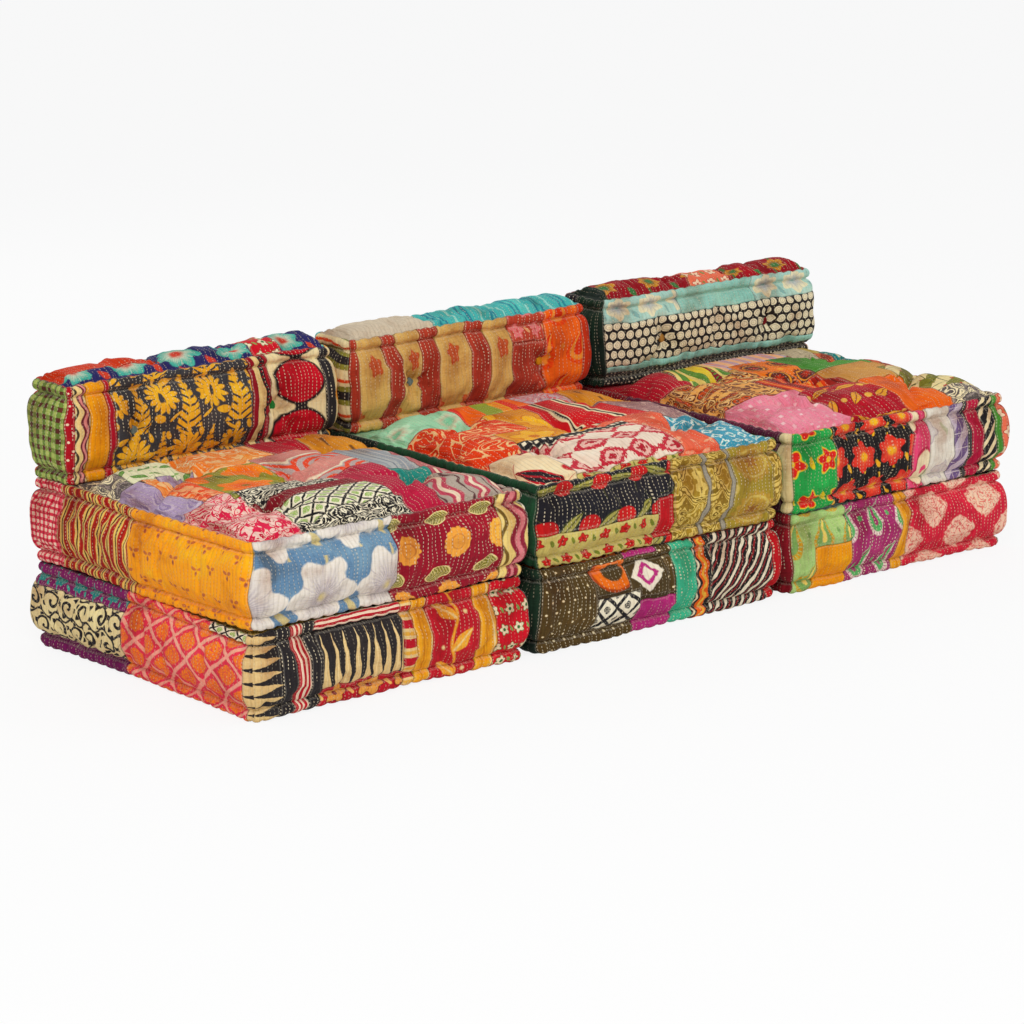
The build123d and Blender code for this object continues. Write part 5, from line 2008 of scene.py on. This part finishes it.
@dataclass
class Studio:
    """The floor, the lights and the camera."""

    focal: float = 3530.0  # of the photograph, in its own pixels
    frame_side: float = 1024.0
    eye: tuple[float, float, float] = (-4.409, -5.055, 1.823)
    yaw: float = 40.56  # to the right of straight back
    pitch: float = 13.92  # downwards
    floor_radius: float = 40.0

    def camera(self) -> None:
        """Stands the camera where the photograph was taken from."""
        data = bpy.data.cameras.new("camera")
        data.sensor_width = 36.0
        data.lens = self.focal / self.frame_side * data.sensor_width
        data.clip_end = 200
        camera = in_scene("camera", data)
        yaw, pitch = math.radians(self.yaw), math.radians(self.pitch)
        ahead = Vector((math.sin(yaw) * math.cos(pitch), math.cos(yaw) * math.cos(pitch), -math.sin(pitch)))
        turn = ahead.to_track_quat("-Z", "Y").to_matrix().to_4x4()
        camera.matrix_world = Matrix.Translation(self.eye) @ turn
        bpy.context.scene.camera = camera

    def lamp(self, name: str, place: Sequence[float], size: float, power: float) -> None:
        """Hangs a soft square lamp that faces the middle of the row."""
        data = bpy.data.lights.new(name, "AREA")
        data.size = size
        data.energy = power
        lamp = in_scene(name, data)
        ahead = Vector((0, 0, 0.2)) - Vector(place)
        lamp.matrix_world = Matrix.Translation(place) @ ahead.to_track_quat("-Z", "Y").to_matrix().to_4x4()

    def sky(self) -> None:
        """Soft light from all round, which shows as white behind the floor."""
        world = bpy.data.worlds.new("studio")
        bpy.context.scene.world = world
        world.use_nodes = True
        net = Net(world.node_tree)
        world.node_tree.nodes.clear()
        path = net.node("ShaderNodeLightPath", {})
        seen = net.most(*(net.out(path, f"Is {ray} Ray") for ray in ("Camera", "Glossy", "Transmission")))
        soft = net.node("ShaderNodeBackground", {"Color": SKY_COLOUR, "Strength": SKY_STRENGTH})
        white = net.node("ShaderNodeBackground", {"Color": WHITE, "Strength": 1.0})
        mix = net.node("ShaderNodeMixShader", {0: seen, 1: net.out(soft), 2: net.out(white)})
        net.node("ShaderNodeOutputWorld", {0: net.out(mix)})

    def floor(self) -> None:
        """A plain pale floor, lifted towards white where the camera sees it."""
        mesh = bpy.data.meshes.new("floor")
        r = self.floor_radius
        mesh.from_pydata([(-r, -r, 0), (r, -r, 0), (r, r, 0), (-r, r, 0)], [], [(0, 1, 2, 3)])
        floor = in_scene("floor", mesh)
        material = bpy.data.materials.new("pale_floor")
        material.use_nodes = True
        net = Net(material.node_tree)
        material.node_tree.nodes.clear()
        place = net.out(net.node("ShaderNodeTexCoord", {}), "Object")
        tone = net.blend(net.noise(place, 0.7), FLOOR_COLOUR, FLOOR_SHADE)
        matt = net.node("ShaderNodeBsdfDiffuse", {"Color": tone})
        glow = net.node("ShaderNodeEmission", {"Color": WHITE, "Strength": 1.0})
        path = net.node("ShaderNodeLightPath", {})
        seen = net.most(net.out(path, "Is Camera Ray"), net.out(path, "Is Glossy Ray"))
        mix = net.node("ShaderNodeMixShader", {0: seen * FLOOR_LIFT, 1: net.out(matt), 2: net.out(glow)})
        net.node("ShaderNodeOutputMaterial", {0: net.out(mix)})
        mesh.materials.append(material)

    def build(self) -> None:
        """Sets up the whole studio."""
        self.camera()
        self.sky()
        self.floor()
        for name, values in LAMPS.items():
            self.lamp(name, *values)
        bpy.context.scene.view_settings.view_transform = "Standard"


def strips(*pairs: tuple[str, float], low: float = 0.0, high: float = 1.0, start: float = 0.0) -> tuple[Patch, ...]:
    """Patches side by side.

    Args:
        pairs: Each patch's fabric and where it ends, from left to right.
        low: Where they all start, upwards.
        high: Where they all end.
        start: Where the first one starts.

    Returns:
        The patches.
    """
    edges = (start, *(edge for _, edge in pairs))
    return tuple(Patch(name, edges[i], edges[i + 1], low, high) for i, (name, _) in enumerate(pairs))


def patch_cloths() -> list[str]:
    """The cloths that patches are cut from."""
    return [name for name in FABRICS if not name.startswith("button")]


def scraps(seed: int, shares: Sequence[float] = (0.0, 0.2, 0.35, 0.55, 0.8, 1.0)) -> tuple[Patch, ...]:
    """Patches for a side that faces away: fabrics drawn by chance, side by side.

    Args:
        seed: Of the draw.
        shares: Where the seams between them are.

    Returns:
        The patches.
    """
    rng = np.random.default_rng(seed)
    picked = rng.choice(patch_cloths(), len(shares) - 1, replace=False)
    return tuple(
        Patch(str(name), shares[i], shares[i + 1], turned=bool(rng.integers(2))) for i, name in enumerate(picked)
    )


def underside(seed: int) -> tuple[Patch, ...]:
    """A bottom panel: six large patches in two rows, with fabrics drawn by chance."""
    rng = np.random.default_rng(seed)
    names = rng.choice(patch_cloths(), 6, replace=False)
    shares = (0.0, 0.35, 0.55, 1.0)
    return tuple(
        Patch(str(names[3 * row + i]), shares[i], shares[i + 1], row / 2, (row + 1) / 2)
        for row in range(2)
        for i in range(3)
    )


def patchwork(ground: str, *rows: tuple[str, float, float, float, float]) -> tuple[Patch, ...]:
    """A panel's patches over a ground cloth, each with its fabric and its place from left, right, low and high."""
    return (Patch(ground), *(Patch(*row) for row in rows))


SEAT_TOPS = {
    "left": patchwork(
        "peach_paisley",
        ("cream_print", 0.0, 0.15, 0.60, 1.0),
        ("leafy_white", 0.13, 0.315, 0.62, 0.846),
        ("pink_scrolls", 0.0, 0.278, 0.0, 0.341),
        ("lavender", 0.0, 0.143, 0.341, 0.62),
        ("lavender", 0.204, 0.315, 0.385, 0.626),
        ("coral_fronds", 0.13, 0.235, 0.341, 0.516),
        ("crimson", 0.587, 0.77, 0.582, 0.857),
        ("ochre_strokes", 0.77, 1.0, 0.50, 0.85),
        ("olive_orange", 0.217, 0.476, 0.30, 0.56),
        ("lilac_fans", 0.476, 0.71, 0.341, 0.582),
        ("magenta_red", 0.513, 0.76, 0.0, 0.36),
        ("grey_blue", 0.71, 0.833, 0.286, 0.582),
        ("dusty_pink", 0.82, 1.0, 0.286, 0.52),
        ("rose_stripes", 0.735, 1.0, 0.0, 0.286),
        ("teal", 0.71, 0.833, 0.22, 0.30),
        ("bold_blocks", 0.229, 0.53, 0.26, 0.341),
        ("garnet", 0.24, 0.55, 0.215, 0.262),
        ("green_blocks", 0.229, 0.574, 0.09, 0.215),
        ("bold_blocks", 0.229, 0.60, 0.0, 0.09),
    ),
    "middle": patchwork(
        "coral",
        ("mint", 0.0, 0.34, 0.582, 1.0),
        ("orange_swirls", 0.0, 0.377, 0.23, 0.60),
        ("fiesta", 0.315, 0.60, 0.593, 1.0),
        ("golden_tan", 0.35, 0.525, 0.385, 0.60),
        ("golden_tan", 0.204, 0.50, 0.25, 0.40),
        ("lilac_rose", 0.56, 0.82, 0.60, 1.0),
        ("red_bars", 0.50, 0.77, 0.33, 0.62),
        ("ochre_strokes", 0.784, 1.0, 0.56, 1.0),
        ("olive_bands", 0.85, 1.0, 0.25, 0.58),
        ("rose_grey", 0.76, 0.858, 0.286, 0.615),
        ("cream_motif", 0.0, 0.204, 0.0, 0.25),
        ("rose_ikat", 0.192, 0.636, 0.04, 0.27),
        ("chequers", 0.204, 0.636, 0.27, 0.30),
        ("coral", 0.611, 0.77, 0.0, 0.341),
        ("lagoon", 0.76, 1.0, 0.0, 0.286),
        ("olive_sprigs", 0.19, 0.60, 0.0, 0.04),
    ),
    "right": patchwork(
        "tan",
        ("crimson", 0.0, 0.18, 0.582, 1.0),
        ("meadow_stripes", 0.18, 0.365, 0.56, 1.0),
        ("peach_stripes", 0.365, 0.685, 0.604, 1.0),
        ("beige_grey", 0.685, 0.84, 0.604, 1.0),
        ("garnet", 0.672, 0.70, 0.604, 1.0),
        ("olive_tan", 0.82, 1.0, 0.66, 1.0),
        ("beige_print", 0.0, 0.389, 0.29, 0.58),
        ("dark_medallions", 0.389, 0.60, 0.43, 0.637),
        ("ember_stripes", 0.303, 0.575, 0.25, 0.45),
        ("apple_green", 0.575, 0.90, 0.42, 0.65),
        ("tan", 0.575, 0.80, 0.286, 0.46),
        ("brick_border", 0.82, 0.865, 0.352, 0.68),
        ("teal_dashes", 0.865, 1.0, 0.40, 0.70),
        ("olive_steps", 0.77, 1.0, 0.10, 0.37),
        ("pink_flecks", 0.0, 0.328, 0.0, 0.308),
        ("crimson_gold", 0.315, 0.587, 0.0, 0.28),
        ("orange", 0.587, 0.77, 0.0, 0.29),
        ("cream_print", 0.77, 1.0, 0.0, 0.12),
    ),
}

SEAT_FRONTS = {
    "left": strips(("denim_blossom", 0.51), ("maroon_discs", 0.87), ("wavy_edge", 1.0)),
    "middle": strips(("night_leaves", 0.54), ("brocade", 0.655), ("silver_cord", 0.672), ("brocade", 0.745))
    + strips(("silver_cord", 0.762), ("gold_rosettes", 0.93), ("brocade", 1.0), start=0.745)
    + (Patch("olive_sprigs", 0.0, 0.47, 0.0, 0.42), Patch("signal_red", 0.47, 0.54, 0.1, 0.6)),
    "right": strips(("leaf_green", 0.20), ("black_blossom", 0.54), ("pink_moons", 0.615), ("cloud_white", 0.72))
    + strips(("lilac_teeth", 0.785), ("black_dashed", 0.802), ("magenta_red", 0.855), start=0.72)
    + strips(("slant_black", 0.91), ("apple_green", 0.935), ("salmon_sprigs", 1.0), start=0.855),
}

SEAT_LEFTS = {
    "left": strips(("pink_check", 0.16), ("ticking", 0.47), ("saffron_sprigs", 1.0)),
    "middle": strips(("bottle_green", 0.3), ("green_velvet", 1.0)),
    "right": strips(("garnet", 0.3), ("plum", 0.93), ("cream", 1.0)),
}

BASE_FRONTS = {
    "left": strips(("side_spikes", 0.107), ("black_dashed", 0.155), ("candy_stripe", 0.20), ("black_dashed", 0.24))
    + strips(("gold_stars", 0.53), ("ladder", 0.57), ("gold_band", 0.625), ("red_vine", 0.785), start=0.24)
    + strips(("gold_band", 0.85), ("red_sprigs", 1.0), start=0.785)
    + (Patch("tall_spikes", 0.24, 0.53, 0.22, 0.87), Patch("candy_stripe", 0.24, 0.53, 0.87, 1.0, True)),
    "middle": strips(("olive_dots", 0.53), ("teal_band", 0.615), ("scallops", 0.685), ("flecked_slant", 0.94))
    + strips(("signal_red", 1.0), start=0.94)
    + (
        Patch("orange_loop", 0.22, 0.35, 0.58, 0.95),
        Patch("magenta", 0.35, 0.48, 0.93, 1.0),
        Patch("white_diamond", 0.35, 0.50, 0.44, 0.86),
        Patch("pebble_print", 0.22, 0.385, 0.17, 0.55),
        Patch("magenta", 0.385, 0.53, 0.0, 0.40),
    ),
    "right": strips(("flame_paisley", 0.26), ("magenta_paisley", 0.475), ("gold_band", 0.525), ("crimson_diamonds", 1))
    + (Patch("golden", 0.11, 0.26, 0.0, 0.56),),
}

BASE_LEFTS = {
    "left": strips(("black_arabesque", 0.44), ("orange_net", 0.965), ("side_spikes", 1.0))
    + (
        Patch("purple_teal", 0.0, 0.44, 0.76, 1.0),
        Patch("purple", 0.0, 0.44, 0.0, 0.17),
        Patch("green_blocks", 0.80, 0.965, 0.88, 1.0),
    ),
    "middle": strips(("plum", 0.5), ("bottle_green", 1.0)),
    "right": strips(("night_leaves", 0.5), ("garnet", 1.0)),
}

BACK_FRONTS = {
    "left": strips(("crimson_dots", 0.038), ("winding_floral", 0.095), ("golden", 0.155), ("crimson", 0.178))
    + strips(("gold_arabesque", 0.655), ("three_stripes", 0.725), ("red_ovals", 0.92), start=0.178)
    + strips(("black_dashed", 0.975), ("cream", 1.0), start=0.92),
    "middle": strips(("brick_dashed", 0.045), ("tan_sprays", 0.15), ("brick_dashed", 0.205), ("tan_sprays", 0.295))
    + strips(("brick_dashed", 0.37), ("tan_sprays", 0.485), ("brick_dashed", 0.56), ("tan_sprays", 0.65), start=0.295)
    + strips(("brick_dashed", 0.80), ("orange_paisley", 0.935), ("orange_red", 1.0), start=0.65)
    + (Patch("brick_floral", 0.65, 0.80, 0.72, 1.0),),
    "right": strips(("bottle_green", 0.03), ("aqua_blossom", 0.36), ("aqua", 0.70), ("aqua_blossom", 1.0))
    + (
        Patch("oval_comb", 0.03, 1.0, 0.25, 0.73),
        Patch("aqua", 0.03, 1.0, 0.16, 0.25),
        Patch("speckled_black", 0.03, 1.0, 0.0, 0.16),
    ),
}

BACK_LEFTS = {
    "left": (Patch("green_check"),),
    "middle": (Patch("wavy_bands"),),
    "right": strips(("night_leaves", 0.4), ("bottle_green", 1.0)),
}

BACK_TOPS = {
    "left": patchwork(
        "navy_floral", ("orange_red", 0.0, 0.40, 0.35, 1.0), ("red_sprigs", 0.70, 0.80, 0.0, 1.0)
    ),
    "middle": patchwork("turquoise", ("grey_beige", 0.0, 0.38, 0.0, 1.0)),
    "right": patchwork("garnet_floral", ("salmon_sprigs", 0.45, 0.62, 0.0, 1.0), ("bottle_green", 0.0, 0.08, 0.0, 1.0)),
}

BACK_BUTTONS = {  # of the two tufts on top, and of the front and rear of the left and the right face tuft
    "left": ("button_red",) * 2 + ("button_grey",) * 2 + ("button_green",) * 2,
    "middle": ("button_grey",) * 4 + ("button_mustard",) * 2,
    "right": ("button_red",) * 2 + ("button_tan",) * 2 + ("button_red",) * 2,
}


def cover(seed: int, front: tuple[Patch, ...], left: tuple[Patch, ...], top: tuple[Patch, ...] = ()) -> Cover:
    """A cushion's patches: those that show as given, and the rest drawn by chance."""
    return Cover(top or underside(seed), underside(seed + 1), front, scraps(seed + 2), scraps(seed + 3), left)


def twine_material() -> bpy.types.Material:
    """Waxed cotton twine: two strands laid round each other, as slanted ridges in the object's own place, with painted
    shade in the troughs between the ridges.
    """
    material = bpy.data.materials.new("waxed_twine")
    material.use_nodes = True
    net = Net(material.node_tree)
    node = net.node("ShaderNodeSeparateXYZ", {0: net.out(net.node("ShaderNodeTexCoord", {}), "Object")})
    x, y, z = (net.out(node, axis) for axis in range(3))
    lay = net.sin((z + (x + y) * 0.7) / TWINE_LAY) * 0.5 + 0.5
    fibre = net.noise(net.join((x + y) * 900, z * 300), 1.0, 2.0)
    shader = material.node_tree.nodes["Principled BSDF"]
    # painted shade: the colour darkens in the troughs of the lay, with the fibre's own tone mixed in
    net.feed(shader.inputs["Base Color"], net.blend(lay * 0.6 + fibre * 0.4, TWINE_PAINTED_TROUGH_SHADE, TWINE_PALE))
    net.feed(shader.inputs["Roughness"], fibre * 0.2 + 0.55)
    bump = net.node("ShaderNodeBump", {"Strength": 1.0, "Distance": 1.0, "Height": lay * TWINE_RELIEF})
    net.feed(shader.inputs["Normal"], net.out(bump))
    return material


def main() -> None:
    """Builds the studio and the nine cushions."""
    Studio().build()
    twine = twine_material()
    for number, side in enumerate(("left", "middle", "right")):
        base = cover(100 + number, BASE_FRONTS[side], BASE_LEFTS[side])
        seat = cover(200 + number, SEAT_FRONTS[side], SEAT_LEFTS[side], SEAT_TOPS[side])
        back = cover(300 + number, BACK_FRONTS[side], BACK_LEFTS[side], BACK_TOPS[side])
        BaseCushion(f"base_{side}", base, 10 + number).build()
        SeatCushion(f"seat_{side}", seat, 20 + number, SEAT_CROWN).build()
        BackCushion(f"back_{side}", back, 30 + number, BACK_CROWN, buttons=BACK_BUTTONS[side]).build()
        for kind in ("base", "seat", "back"):
            bpy.data.objects[f"{kind}_{side}_tufting_twine"].material_slots[0].material = twine


if __name__ == "__main__":
    main()
